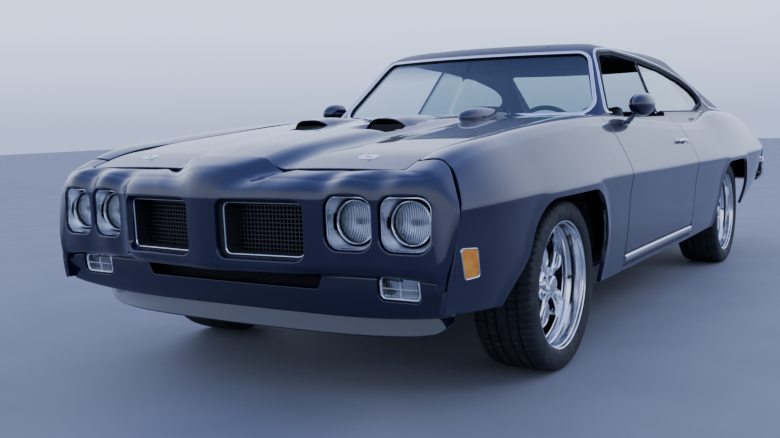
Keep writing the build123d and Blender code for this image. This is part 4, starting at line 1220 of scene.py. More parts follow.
class BuildLamps(bpy.types.Operator):
    """Four round headlamps in dished bright surrounds, parking lamps and side markers"""
    bl_idname = "car.lamps"
    bl_label = "Lamps"

    def execute(self, context):
        surround, beams = bmesh.new(), bmesh.new()
        count = 72
        for (x, z, w, h, corner), lamp_y in LAMPS:
            hole, cx, cz, y = round_box(x, z, w, h, corner), x * MM, z * MM, lamp_y * MM
            turn = np.arange(count) * 2 * math.pi / count

            def rim(inset, depth):
                ring = polar_ring(grown(hole, -inset), cx, cz, count)
                return laid_on("nose", [(a, 0, b) for a, b in ring], (0, 1, 0), depth)

            def circle(radius, at):
                return [Vector((cx + radius * math.cos(t), at, cz + radius * math.sin(t))) for t in turn]

            def between(a, b, share, at):
                return [Vector((p.x + (q.x - p.x) * share, at(p, q), p.z + (q.z - p.z) * share)) for p, q in zip(a, b)]

            outer, dish = rim(0.0095, 0.022), circle(0.0785, y - 0.003)
            body = extruded_rings([
                rim(0.001, HOUSING_DEPTH), rim(0.001, 0.02), rim(0.0035, 0.013), rim(0.005, 0.0115),
                rim(0.007, 0.0115), rim(0.0085, 0.015), outer,
                between(outer, dish, 0.25, lambda p, q: p.y + (q.y - p.y) * 0.4),
                between(outer, dish, 0.6, lambda p, q: p.y + (q.y - p.y) * 0.75),
                between(outer, dish, 0.85, lambda p, q: p.y + (q.y - p.y) * 0.94), dish, circle(0.0780, y + 0.012),
                circle(0.0775, y + 0.052)])
            # A near-black annulus behind the lamp's ring, painted shade in the gap round the lens
            join(body, extruded_rings([circle(0.0778, y + 0.006), circle(0.0640, y + 0.006), circle(0.0640, y + 0.009),
                                       circle(0.0778, y + 0.009)], False, False, material=1))
            ring = turned([(-14, 72), (8, 71.8), (13, 70.4), (15, 68.4), (13.4, 66.6), (6, 65.8), (-6, 65.4),
                           (-14, 66), (-14, 72)], (cx, y, cz), (0, -1, 0), 72)
            join(body, ring)
            # Within the well, faces behind the painted shade's start are near-black painted shade and the rest chrome;
            # the dish inside the hole's inset is satin reflector
            for f in body.faces:
                c = f.calc_center_median()
                if math.hypot(c.x - cx, c.z - cz) < SHADED_WELL_RADIUS:
                    f.material_index = 1 if c.y > y - PAINTED_SHADE_START else 0
                elif distance(grown(hole, -DISH_INSET), np.array([c.x]), np.array([c.z]))[0] < 0:
                    f.material_index = 2
            join(surround, body)
            bowl = turned([(-8, 65), (-20, 59), (-32, 43), (-40, 20), (-42, 0), (-45, 0), (-44, 22), (-35, 46),
                           (-22, 62), (-8, 66), (-8, 65)], (cx, y, cz), (0, -1, 0), 48, 1)
            shield = turned([(-30, 0), (-30, 6), (-18, 13), (-13, 11), (-11, 0)], (cx, y, cz), (0, -1, 0), 24, 2)
            face = turned([(12, 0), (11.4, 13), (9.8, 28), (6.4, 44), (2.2, 56), (-1.4, 63), (-4, 65), (-6.5, 64),
                           (-3.5, 57), (1.8, 43), (5.4, 28), (7.2, 13), (7.8, 0)], (cx, y, cz), (0, -1, 0), 64)
            for part in (bowl, shield, face):
                join(beams, part)
        piece("headlamp_surrounds", both_sides(surround), "chrome", "body", "headlamp_bezels", sharp=35,
              looks=["chrome", "shadow", "reflector"])
        piece("headlamp_beams", both_sides(beams), "lamp_glass", "body", "headlamps",
              looks=["lamp_glass", "reflector", "steel"])

        # Parking lamps: a bright frame with a cross over a clear fluted lens
        box = round_box(*PARKING_HOLE)
        centre = (PARKING_HOLE[0] * MM, PARKING_HOLE[1] * MM)

        def on_valance(shape, depth):
            return laid_on("valance", [(x, 0, z) for x, z in shape], (0, 1, 0), depth)

        # The pocket's walls are near-black, painted shade inside the recess
        pocket = extruded_rings([
            on_valance(grown(box, 0.003), 0.05), on_valance(grown(box, 0.003), 0.014),
            on_valance(grown(box, -0.004), 0.016), on_valance(grown(box, -0.005), 0.026)], material=2)
        reflector = extruded_rings([
            on_valance(grown(box, -0.005), 0.026), on_valance(grown(box, -0.008), 0.027),
            on_valance(grown(box, -0.026), 0.045), on_valance(grown(box, -0.026), 0.047),
            on_valance(grown(box, -0.005), 0.047)], material=1)
        join(pocket, reflector)
        frame_ring = swept(on_valance(grown(box, -0.009), 0.012), (0, -1, 0), half_round(8, 6), closed=True,
                           material=1)
        join(pocket, frame_ring)
        for a, b in (((-0.064, 0.0), (0.064, 0.0)), ((0.0, -0.029), (0.0, 0.029))):
            bar = on_valance([(centre[0] + a[0] + (b[0] - a[0]) * t, centre[1] + a[1] + (b[1] - a[1]) * t)
                              for t in np.linspace(0, 1, 7)], 0.013)
            join(pocket, swept(bar, (0, -1, 0), half_round(4, 4), material=1))
        lens_ring = grown(box, -0.010)
        join(pocket, extruded_rings([on_valance(lens_ring, 0.024), on_valance(lens_ring, 0.018),
                                     on_valance(grown(lens_ring, -0.008), 0.0155)]))
        piece("parking_lamps_bright", both_sides(pocket), "lamp_glass", "body", "parking_lamps",
              looks=["lamp_glass", "reflector", "shadow"])

        # Side markers, front amber and rear red
        for name, shape, look in (("front", FRONT_MARKER, "amber"), ("rear", REAR_MARKER, "red_lens")):
            y0, y1 = shape[:, 0].min() / MM - 12, shape[:, 0].max() / MM + 12
            rows = [r for r in SIDE_ROWS if r >= 2]
            lens_part = patch(side, spaced((y0, y1, 24)), rows,
                              lambda p: -distance(shape, p[:, 1], p[:, 2]) - 0.003, -0.002, 0.004, 0.0015)
            edge = [Vector((x, y, z)) for x, y, z in side_points(grown(shape, -0.001))]
            rim_part = swept(edge, outward_of("side", (-1, 0, 0)), half_round(5, 5), closed=True, material=1)
            join(lens_part, rim_part)
            made = piece(f"side_markers_{name}", both_sides(lens_part), look, "body",
                         looks=[look, "chrome"])
            if name == "front":
                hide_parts("side_markers")
        return {"FINISHED"}


# Parking lamp opening: x, z, width, height, corner
PARKING_HOLE = (680, 437, 158, 84, 26)
FRONT_MARKER = outline(filleted([(-2380, 474), (-2310, 476), (-2334, 568), (-2412, 574)], [12, 10, 12, 10], 5))
REAR_MARKER = round_box(2300, 610, 150, 40, 9)


def side_points(shape):
    return laid_on("side", [(0, y, z) for y, z in shape], (-1, 0, 0))


# Valance under the nose. x, y; top z; bottom z
VALANCE_STATIONS = [
    (0, -2446, 470, 326), (250, -2444, 470, 326), (500, -2438, 472, 328), (640, -2434, 474, 334),
    (740, -2433, 475, 343), (800, -2436, 473, 352), (841, -2440, 468, 362),
]
# Air dam. x, y; top z; bottom z
DAM_STATIONS = [
    (0, -2408, 332, 262), (250, -2402, 332, 262), (400, -2392, 332, 262), (520, -2374, 333, 262),
    (620, -2348, 335, 263), (700, -2318, 338, 266), (748, -2296, 342, 276), (790, -2274, 346, 312),
]
SLOT = outline(filleted([(-424, 520), (-374, 418), (374, 418), (424, 520)], [0, 16, 16, 0]))


def wrapped_form(stations, shape, ease, crown):
    """A band round the front or back of the car; shape gives the inset and height of each corner."""
    half = np.array(stations, float)
    rows = np.vstack([half[:0:-1] * np.array([-1] + [1] * (half.shape[1] - 1)), half])
    way = np.gradient(rows[:, :2], axis=0)
    way /= np.linalg.norm(way, axis=1, keepdims=True)
    inward = np.stack([-way[:, 1], way[:, 0]], 1)
    knots = np.concatenate([[0], np.cumsum(np.linalg.norm(np.diff(rows[:, :2], axis=0), axis=1))])
    knots -= knots[-1] / 2
    corners = []
    for row, inn in zip(rows, inward):
        corners.append([(row[0] + inn[0] * d, row[1] + inn[1] * d, z) for d, z in shape(row)])
    return Form(knots, corners, ease, crown)


class BuildValance(bpy.types.Operator):
    """Valance and air dam under the nose"""
    bl_idname = "car.valance"
    bl_label = "Valance and air dam"

    def execute(self, context):
        form = wrapped_form(VALANCE_STATIONS, lambda r: [
            (46, r[2] - 3), (2, r[2]), (4, (r[2] + r[3]) / 2 + 16), (28, r[3] + 20), (38, r[3]), (60, r[3] - 2)],
            (0, 12, 60, 18, 10, 0), (0, 0, 0, 0, 0))
        end = form.knots[-1]
        along, across = spaced((-end, end, 230)), spaced((0, 1, 4), (1, 2, 10), (2, 3, 8), (3, 4, 4), (4, 5, 3))
        remember("valance", form, along, across)
        holes = [round_box(s * PARKING_HOLE[0], *PARKING_HOLE[1:]) for s in (1, -1)]

        def keep(p):
            x, y, z = p.T
            d = distance(SLOT, x, z) - 0.003
            for hole in holes:
                d = np.minimum(d, np.where(y < -2.2, distance(hole, x, z) - 0.003, 1))
            return d

        bm = pressed(form, along, across, 0.003, 0.012, keep)
        # A near-black sheet behind the slot, painted shade where one would otherwise see into the nose
        shield = extruded_rings([[Vector((x * MM, y * MM, z * MM)) for x, y, z in (
            (-740, at, 340), (740, at, 340), (740, at, 480), (-740, at, 480))] for at in (-2356, -2350)], material=1)
        join(bm, shield)
        piece("valance_skin", bm, "paint", "body", "front_valance", looks=["paint", "shadow"])

        dam = wrapped_form(DAM_STATIONS, lambda r: [(30, r[2] + 4), (10, r[2]), (-6, r[3] + 3), (8, r[3])],
                           (0, 5, 6, 0), (0, -1, 0))
        end = dam.knots[-1]
        bm = pressed(dam, spaced((-end, end, 150)), spaced((0, 1, 3), (1, 2, 7), (2, 3, 3)), 0.0015, 0.006)
        piece("air_dam_skin", bm, "paint", "body", "air_dam")
        return {"FINISHED"}


# Trim laid on the glass house goes no lower than these heights, in metres, so that it meets the house
DRIP_FOOT_Z, SEAL_FOOT_Z = 0.966, 0.967


class BuildGlass(bpy.types.Operator):
    """Windshield, back window and quarter windows, with their bright and rubber surrounds"""
    bl_idname = "car.glass"
    bl_label = "Glass and its trim"

    def execute(self, context):
        front_around = spaced((0, 1, 40), (1, 1.25, 10))

        def windshield(p):
            return np.where(p[:, 1] < -0.2, 0.008 - distance(outline(SCREEN), p[:, 0], p[:, 2]), -1)

        left = patch(house, spaced((0, 420, 46)), front_around, windshield, 0.010, 0.004)
        right = patch(house, spaced((0, 420, 46)), spaced((4.75, 5, 10), (5, 6, 40)), windshield, 0.010, 0.004)
        join(left, right)
        bmesh.ops.remove_doubles(left, verts=left.verts, dist=2e-4)
        inner = [f for f in left.faces if all(abs(v.co.x) < 1e-4 for v in f.verts)]
        bmesh.ops.delete(left, geom=inner, context="FACES")
        piece("windshield_glass", left, "glass", "body", "windshield", looks=["shaded_glass"])

        sheet = Form([0, 600], [[(-h, y, z), (0, y, z), (h, y, z)]
                                for h, y, z in ((636, 1566, 969), (512, 1031, 1264))],
                     ease=(0, 300, 0), crown=(4, 4))
        bm = pressed(sheet, spaced((0, 600, 30)), spaced((0, 2, 50)), 0.0005, 0.004)
        piece("back_window_glass", bm, "glass", "body", "back_glass")
        surfaces["back"] = BVHTree.FromPolygons([(-0.9, 1.560, 0.972), (0.9, 1.560, 0.972), (0.9, 1.035, 1.262),
                                                 (-0.9, 1.035, 1.262)], [(0, 1, 2, 3)])

        def quarter(p):
            return np.where((p[:, 0] > 0.4) & (p[:, 1] > 0.1), -distance(QUARTER_PANE, p[:, 1], p[:, 2]), -1)

        bm = patch(house, spaced((0, 420, 40)), spaced((1, 2, 110)), quarter, 0.016, 0.004)
        pair("quarter_window", bm, "glass", ("body", "body"), ("quarter_glass", ""))

        # Bright mouldings: round both screens, over the side windows and under the sail panels
        bright = bmesh.new()
        front = laid_on("house", [(x, 0, z) for x, z in resampled(outline(grown(SCREEN, 7)), 150)], (0, 1, 0))
        join(bright, swept(front, outward_of("house", (0, 1, 0)), half_round(19, 6), closed=True))
        back_edge = resampled(outline(filleted([(-628, 976), (628, 976), (512, 1256), (-512, 1256)],
                                               [30, 30, 60, 60])), 130)
        back = laid_on("back", [(x, 3, z) for x, z in back_edge], (0, -1, 0), -0.006)
        join(bright, swept(back, (0, 0.483, 0.875), half_round(20, 7), closed=True))
        ring = outline(grown(WINDOW, 13))
        last = max(k for k, (y, z) in enumerate(ring) if y > 1.28 and z > 1.045)
        drip = laid_on("house", [(0, y, max(z, DRIP_FOOT_Z)) for y, z in resampled(ring[:last], 110, closed=False)],
                       (-1, 0, 0))
        half = swept(drip, outward_of("house", (-1, 0, 0)), half_round(13, 8))
        base = laid_on("house", [(0, y, z) for y, z in resampled(outline([(1338, 1046), (1364, 1010), (1400, 992),
                       (1500, 984), (1640, 976), (1800, 966)]), 30, closed=False)], (-1, 0, 0))
        join(half, swept(base, outward_of("house", (-1, 0, 0)), half_round(15, 7)))
        join(bright, both_sides(half))
        piece("bright_mouldings", bright, "chrome", "body")

        # Body-coloured strip between the quarter panel and the foot of its window
        stops, rows = [252, 500, 800, 1000, 1160], []
        for y in stops:
            x, _, z = flow([row[0] for row in SIDE_SECTIONS], side_corners, [y])[0, 0]
            rows.append([(x - 1, y, z - 3), (x - 5, y, z + 8), (757 - 0.006 * y, y, max(z + 12, 963))])
        strip = Form(stops, rows, ease=(0, 10, 0), crown=(0, 1))
        bm = pressed(strip, spaced((252, 1160, 60)), spaced((0, 1, 3), (1, 2, 4)), 0.001, 0.006)
        piece("belt_strips", both_sides(bm), "paint", "body")

        def above_belt(amount):
            """The window's outline without the part that the door carries."""
            ring = resampled(outline(grown(WINDOW, amount)), 240)
            ring[:, 1] = ring[:, 1].clip(SEAL_FOOT_Z)
            gone = (ring[:, 1] < 0.985) & (abs(ring[:, 0] + 0.2) < 0.43)
            first = np.flatnonzero(gone & ~np.roll(gone, -1))[0] + 1
            return [(0, y, z) for y, z in np.roll(ring, -first, axis=0)[:(~gone).sum()]]

        rubber = swept(laid_on("house", above_belt(-2), (-1, 0, 0), 0.004), outward_of("house", (-1, 0, 0)),
                       half_round(13, 7))
        inner_seal = laid_on("house", above_belt(-14), (-1, 0, 0), 0.013)
        join(rubber, swept(inner_seal, outward_of("house", (-1, 0, 0)), half_round(12, 7)))
        bar = laid_on("house", [(0, y, z) for y, z in resampled(outline([(157, 967), (258, 1262)]), 14, closed=False)],
                      (-1, 0, 0), 0.012)
        join(rubber, swept(bar, outward_of("house", (-1, 0, 0)), half_round(20, 8)))
        piece("window_seals", both_sides(rubber), "rubber", "body", looks=["seal"])
        return {"FINISHED"}


QUARTER_PANE = outline([(156, 948), (262, 1264), (690, 1226), (1050, 1168), (1232, 1116), (1318, 1055), (1262, 1002),
                        (960, 950)])


class BuildScoops(bpy.types.Operator):
    """Hood scoops, tachometer pod, lock plates and cowl"""
    bl_idname = "car.hood_fittings"
    bl_label = "Hood fittings"

    def execute(self, context):
        x0, x1 = SCOOP_X

        def cover_height(p):
            """The cover stands on the hood: tall and arched at its mouth, flat at its rear."""
            p = p.copy()
            base = np.array([q.z for q in laid_on("hood", [(x * MM, y * MM, 0) for x, y, _ in p], (0, 0, -1))]) / MM
            u = (p[:, 0] - x0) / (x1 - x0)
            arch = np.clip(1 - abs(2 * u - 1) ** 3.2, 0, 1)
            run = 1 - eased(p[:, 1], -1640, -1330)
            p[:, 1] += np.where(p[:, 1] < -1600, (1 - arch) * 26 * (1 - eased(p[:, 1], -1700, -1600)), 0)
            p[:, 2] = base + 27 * arch * run - 1.5 + 1.0 * arch
            return p

        cover = Form([-1706, -1500, -1322], [[(x0 - 4, y, 0), (x1 + 4, y, 0)] for y in (-1706, -1500, -1322)],
                     ease=(0, 0), crown=(0,), lift=cover_height)
        bm = pressed(cover, spaced((-1706, -1322, 40)), spaced((0, 1, 34)), 0.002, 0.003)
        # The duct in each scoop's mouth is near-black, painted shade inside the opening
        duct = rounded_block(x0 + 12, x1 - 12, -1690, -1500, 905, 944, 6, 2, 1)
        join(bm, duct)
        bm = both_sides(bm)
        pod_rings = [(-1312, 5, 3), (-1302, 24, 18), (-1280, 38, 31), (-1240, 50, 42), (-1180, 56, 47),
                     (-1100, 58, 48), (-1020, 57, 48), (-960, 53, 46), (-930, 49, 43), (-914, 46, 40), (-911, 43, 38),
                     (-912, 40, 35), (-930, 39, 34)]
        pod = lofted_plan([section(330, y, 962, w, h, 36, 2.2) for y, w, h in pod_rings])
        join(bm, pod)
        dial = extruded_rings([[Vector(q) * MM for q in section(330, y, 962, 38, 33, 36, 2.2)] for y in (-929, -927)],
                              material=1)
        join(bm, dial)
        hand = rounded_block(329, 331, -927, -925, 962, 986, 0.4, 1, 2)
        join(bm, hand)
        plates = bmesh.new()
        for x in (-500, 500):
            spot = laid_on("hood", [(x * MM, -2.30, 0)], (0, 0, -1))[0]
            rings = [[spot + Vector((a * MM * f, b * MM * f, h * MM + (b * MM * f) * 0.22)) for a, b, _ in
                      section(0, 0, 0, 40, 20, 28, 2.4, "xy")] for f, h in ((1, -4), (1, 1), (0.93, 3), (0.8, 3.4))]
            join(plates, extruded_rings(rings))
            join(plates, turned([(0, 0), (0, 11), (5, 11), (9, 8), (12, 4), (12.5, 0)], spot + Vector((0, 0, 0.002)),
                                (0, -0.2, 1), 24, up=(1, 0, 0)))
        join(bm, coloured(plates, 2))
        piece("hood_fittings", bm, "paint", "hood", looks=["paint", "shadow", "chrome"])

        # Cowl between hood and windshield, with its louvres
        xs = [-757, -700, -500, -250, 0, 250, 500, 700, 757]
        stations = []
        for x in xs:
            front = -846 if abs(x) < 699 else -926
            wall = -833 + 135 * (x / 757) ** 2
            top = hood_z(x, -850) - 9 if abs(x) < 699 else 952
            stations.append([(x, front, top), (x, wall + 22, 961)])
        cowl = Form(xs, stations, ease=(0, 0), crown=(2,))
        bm = pressed(cowl, spaced((-757, 757, 120)), spaced((0, 1, 8)), 0.001, 0.006)
        # The louvres are near-black blocks, painted shade in the cowl's slots
        for k in range(-17, 18):
            x = k * 36
            top = hood_z(x, -850) - 7
            if abs(x) > 60 and abs(x) < 640:
                join(bm, rounded_block(x - 11, x + 11, -838 + abs(x) * 0.03, -828 + abs(x) * 0.09, top - 12, top + 1,
                                       2, 1, 1))
        for s in (-1, 1):
            corner = [(s * x, y, z) for x, y, z in ((701, -928, 951), (771, -928, 941), (771, -770, 950),
                                                    (757, -690, 955), (701, -790, 957))]
            join(bm, lofted_plan([[(x, y, z - d) for x, y, z in corner] for d in (30, 0)]))
        piece("cowl_panel", bm, "paint", "body", looks=["paint", "shadow"])
        return {"FINISHED"}


class BuildWheels(bpy.types.Operator):
    """Polished five-spoke wheels and grooved low-profile tyres"""
    bl_idname = "car.wheels"
    bl_label = "Wheels and tyres"

    def execute(self, context):
        rim_profile = [
            (112, 243), (112, 240), (109, 237), (104, 236.5), (99, 235), (97, 231), (92, 229.5), (70, 228.5),
            (64, 228), (60, 230.5), (56, 230.5), (53, 226), (44, 221), (34, 219.5), (30, 222), (25, 222), (22, 217),
            (-30, 215), (-60, 216), (-92, 224), (-100, 233), (-110, 238), (-112, 242), (-110, 245), (-104, 245),
            (-97, 240), (-60, 229), (60, 233), (97, 240), (104, 245), (110, 245), (112, 243)]
        rim = turned(rim_profile, (0, 0, 0), (1, 0, 0), 96)

        # One spoke, from hub to rim: radius; half width; outer face; thickness
        spoke_rows = [(18, 20, 56, 30), (44, 22, 56, 28), (64, 21, 52, 26), (90, 25, 53, 26), (118, 31, 52, 28),
                      (146, 34, 47, 30), (170, 33, 39, 30), (190, 32, 30, 28), (206, 36, 24, 26), (220, 44, 22, 26)]
        rings = []
        for r, w, face, deep in spoke_rows:
            rings.append([(face - deep / 2 + z * deep / 2, x * w, r) for x, _, z in section(0, 0, 0, 1, 1, 20, 2.8)])
        spoke = lofted_plan(rings)
        # The raised oval on each spoke, dished in the middle
        oval = []
        for scale, out in ((1.0, -6), (1.0, 2), (0.94, 5), (0.84, 5.5), (0.76, 3), (0.7, 1.5), (0.3, 1)):
            ring = []
            for k in range(32):
                t = 2 * math.pi * k / 32
                r = 122 + 48 * scale * math.sin(t)
                w = (25 + 5 * math.sin(t)) * scale * math.cos(t)
                face = float(np.interp(r, [row[0] for row in spoke_rows], [row[2] for row in spoke_rows]))
                ring.append((face + out, w, r))
            oval.append(ring)
        join(spoke, lofted_plan(oval))
        web = lofted_plan([
            [(x, y, 196) for x, y in ((-6, -30), (14, -30), (14, 30), (-6, 30))],
            [(x, y * 1.3, 221) for x, y in ((-10, -38), (22, -38), (22, 38), (-10, 38))]])
        join(spoke, web)
        wheel = rim
        for k in range(5):
            turned_spoke = spoke.copy()
            bmesh.ops.rotate(turned_spoke, verts=turned_spoke.verts, cent=(0, 0, 0),
                             matrix=Matrix.Rotation(math.radians(72 * k + 20), 3, "X"))
            join(wheel, turned_spoke)
            nut_at = Matrix.Rotation(math.radians(72 * k + 56), 3, "X") @ Vector((0, 0, 0.048))
            join(wheel, turned([(46, 0), (46, 10), (60, 10), (64, 7), (66, 0)], nut_at, (1, 0, 0), 6))
        spoke.free()
        hub = turned([(20, 0), (20, 70), (30, 71), (44, 66), (50, 58), (50, 40), (54, 36), (70, 34), (74, 30),
                      (75, 22), (76, 0)], (0, 0, 0), (1, 0, 0), 48)
        join(wheel, hub)
        valve = turned([(0, 0), (0, 5), (8, 5), (9, 3.4), (30, 3), (31, 4.4), (40, 4.2), (41, 0)], (0.058, 0, 0),
                       (0, 0, -1), 14, 1, up=(1, 0, 0))
        turn = Matrix.Rotation(math.radians(-92), 3, "X")
        bmesh.ops.translate(valve, verts=valve.verts, vec=(0, 0, 0.229))
        bmesh.ops.rotate(valve, verts=valve.verts, cent=(0, 0, 0), matrix=turn)
        join(wheel, valve)
        disc = turned([(4, 72), (4, 150), (-20, 150), (-20, 72), (-16, 60), (0, 60), (4, 72)], (0, 0, 0), (1, 0, 0),
                      64, 2)
        join(wheel, disc)

        # Tyre section from bead to bead; grooves run round the tread
        def crown(x):
            return 325 - 5.5 * (abs(x) / 106) ** 3.2

        tread = []
        for x0, x1, groove in ((-106, -66, 0), (-66, -58, 7), (-58, -27, 0), (-27, -19, 7), (-19, 19, 0), (19, 27, 7),
                               (27, 58, 0), (58, 66, 7), (66, 106, 0)):
            if groove:
                tread += [(x0 + 0.6, crown(x0) - groove), (x1 - 0.6, crown(x1) - groove)]
            else:
                tread += [(x, crown(x)) for x in np.linspace(x0, x1, 4)]
        wall = [(113, 314), (118, 306), (120.5, 296), (122, 286), (122.5, 276), (121.5, 268), (121, 266),
                (121.6, 264.5), (120, 258), (117, 252), (115.6, 250), (114.8, 248), (112.4, 246), (108, 243),
                (100, 240)]
        section_line = [(-x, r) for x, r in reversed(wall)] + tread + wall + [(90, 236), (-90, 236), (-100, 240)]
        blocks = context.scene.car.tread_blocks
        tyre = turned(section_line, (0, 0, 0), (1, 0, 0), blocks * 6)
        for v in tyre.verts:
            r = math.hypot(v.co.y, v.co.z)
            x = v.co.x / MM
            if r > 0.3175 and abs(x) > 26:
                slot_at = round(math.atan2(v.co.z, v.co.y) / (2 * math.pi) * blocks * 6 + (3 if x > 0 else 0)
                                + abs(x) / 36) % 6
                if slot_at == 0:
                    v.co.y *= 1 - 0.0045 / r
                    v.co.z *= 1 - 0.0045 / r
        for end, x, y in (("front", 774.5, FRONT_AXLE_Y), ("rear", 769, REAR_AXLE_Y)):
            for part, bm, slot, looks in (
                    ("wheel", wheel, "polished", ["polished", "rubber", "cast_iron"]),
                    ("tyre", tyre, "rubber", ["rubber"])):
                left = bm.copy()
                bmesh.ops.translate(left, verts=left.verts, vec=(x * MM, y * MM, AXLE_Z * MM))
                pair(f"{part}_{end}_skin", left, slot, (f"wheel_{end}_left", f"wheel_{end}_right"),
                     (f"{part}_{end}_left", f"{part}_{end}_right"), looks=looks, sharp=38)
        wheel.free()
        tyre.free()
        return {"FINISHED"}


MIRROR_AT = (0.872, -0.560, 1.003)


class BuildSideTrim(bpy.types.Operator):
    """Mirrors, door handles, rocker mouldings and door linings"""
    bl_idname = "car.side_trim"
    bl_label = "Mirrors, handles and side trim"

    def execute(self, context):
        shell = turned([(-76, 0), (-75, 6), (-68, 20), (-54, 33), (-36, 43), (-8, 51), (24, 54), (54, 54), (60, 53),
                        (61, 50), (57, 48.5), (56, 0)], MIRROR_AT, (0, 1, 0), 56)
        face = turned([(56.5, 0), (56.5, 48), (58, 47.5), (58.5, 0)], MIRROR_AT, (0, 1, 0), 48, 1)
        stalk = lofted_plan([section(x, y, z, w, d, 20, 2.2, "xy") for x, y, z, w, d in (
            (826, -590, 926, 17, 36), (832, -588, 934, 14, 32), (846, -580, 950, 10, 22), (860, -572, 968, 9, 18))])
        join(shell, face)
        join(shell, stalk)
        pair("mirror_shell", shell, "paint", ("door_left", "door_right"), ("mirror_left", "mirror_right"),
             looks=["paint", "mirror"])

        # Pull handle: a bright bar on two feet, with a small round button behind it
        line = resampled(outline([(-10, 818), (60, 820), (150, 815)]), 22, closed=False)
        handle = swept(laid_on("side", [(0, y, z) for y, z in line], (-1, 0, 0), -0.016),
                       outward_of("side", (-1, 0, 0)), [(9 * math.cos(t), 5 * math.sin(t))
                                                        for t in np.linspace(0, 2 * math.pi, 13)[:-1]])
        for y, z in ((-8, 818), (146, 815)):
            foot = laid_on("side", [(0, y * MM, z * MM)], (-1, 0, 0))[0] / MM
            join(handle, lofted_plan([section(foot.x + d, foot.y, foot.z, w, h, 16, 2.4, "yz")
                                      for d, w, h in ((-2, 17, 13), (3, 16, 12), (8, 10, 8), (17, 8, 6))]))
        join(handle, turned([(-2, 0), (-2, 12), (2, 12), (4, 9), (4.5, 0)],
                            laid_on("side", [(0, 0.192, 0.800)], (-1, 0, 0))[0], (1, 0, 0), 24))
        pair("door_handle", handle, "chrome", ("door_left", "door_right"))

        strip = laid_on("side", [(0, y, 0.333) for y in np.linspace(-0.918, 0.242, 40)], (-1, 0, 0), 0.001)
        trim = swept(strip, outward_of("side", (-1, 0, 0)), half_round(30, 8))
        dark = laid_on("side", [(0, y, 0.306) for y in np.linspace(-0.918, 0.242, 40)], (-1, 0, 0), 0.001)
        join(trim, swept(dark, outward_of("side", (-1, 0, 0)), half_round(20, 2), material=1))
        piece("rocker_mouldings", both_sides(trim), "chrome", "body", "rocker_trim",
              looks=["chrome", "black_plastic"])

        # Inner structure of the doors, lined on the cabin side
        rings = []
        for z, x_in, x_out in ((364, 792, 866), (372, 790, 880), (500, 785, 896), (700, 782, 900), (860, 779, 850),
                               (930, 777, 800), (944, 778, 794)):
            rings.append([(x_in, -912, z), (x_out, -912, z), (x_out, 232 - (22 if z > 800 else 8), z),
                          (x_in, 232 - (22 if z > 600 else 8), z)])
        lining = lofted_plan(rings)
        for f in lining.faces:
            f.material_index = 1 if f.normal.x < -0.5 else 0
        rest = rounded_block(742, 786, -420, 60, 640, 690, 14, 3, 1)
        join(lining, rest)
        pull = swept([Vector((0.776, y * MM, z * MM)) for y, z in ((-300, 760), (-280, 768), (-60, 768), (-40, 760))],
                     (-1, 0, 0), half_round(10, 9), material=2)
        join(lining, pull)
        pair("door_lining", lining, "paint", ("door_left", "door_right"), looks=["paint", "trim", "chrome"])
        return {"FINISHED"}


# Rear bumper. x, y
BUMPER_STATIONS = [(0, 2577), (170, 2577), (400, 2574), (600, 2569), (720, 2558), (802, 2541), (864, 2512),
                   (900, 2474), (914, 2428), (918, 2380)]
TAIL_LAMP = (640, 545, 300, 86, 22)


class BuildRear(bpy.types.Operator):
    """Rear bumper with its tail lamps and blank plate"""
    bl_idname = "car.rear"
    bl_label = "Rear bumper and lamps"

    def execute(self, context):
        rows = [(x, -y) for x, y in BUMPER_STATIONS]
        form = wrapped_form(rows, lambda r: [(52, 618), (9, 625), (0, 560), (6, 478), (50, 450)],
                            (0, 14, 60, 26, 0), (0, 4, 3, 0))
        # The band is drawn for the front of the car, and turned to face back
        form.corners = form.corners * [1, -1, 1]
        form.corners = form.corners[::-1].copy()
        end = form.knots[-1]
        along, across = spaced((-end, end, 190)), spaced((0, 1, 6), (1, 2, 12), (2, 3, 12), (3, 4, 6))
        remember("bumper", form, along, across)
        holes = [round_box(s * TAIL_LAMP[0], *TAIL_LAMP[1:]) for s in (1, -1)]

        def keep(p):
            x, y, z = p.T
            d = np.full(len(p), 1.0)
            for hole in holes:
                d = np.minimum(d, np.where(y > 2.45, distance(hole, x, z) - 0.003, 1))
            return d

        bm = pressed(form, along, across, 0.003, 0.012, keep)
        plate = rounded_block(-153, 153, 2574, 2579, 458, 614, 2, 2, 1)
        join(bm, plate)
        piece("bumper_skin", bm, "chrome", "body", "rear_bumper", looks=["chrome", "plate"])

        hole = round_box(*TAIL_LAMP)

        def on_bumper(shape, depth):
            return laid_on("bumper", [(x, 5, z) for x, z in shape], (0, -1, 0), depth)

        lamp = extruded_rings([on_bumper(grown(hole, 0.001), 0.03), on_bumper(grown(hole, 0.001), 0.014),
                               on_bumper(grown(hole, -0.006), 0.008), on_bumper(grown(hole, -0.02), 0.006)])
        for x in (-90, -30, 30, 90):
            bar = on_bumper([((640 + x) * MM, z) for z in np.linspace(0.508, 0.582, 6)], 0.006)
            join(lamp, swept(bar, (0, 1, 0), half_round(5, 4), material=1))
        piece("tail_lamp_lenses", both_sides(lamp), "red_lens", "body", "tail_lamps",
              looks=["red_lens", "chrome"])
        return {"FINISHED"}


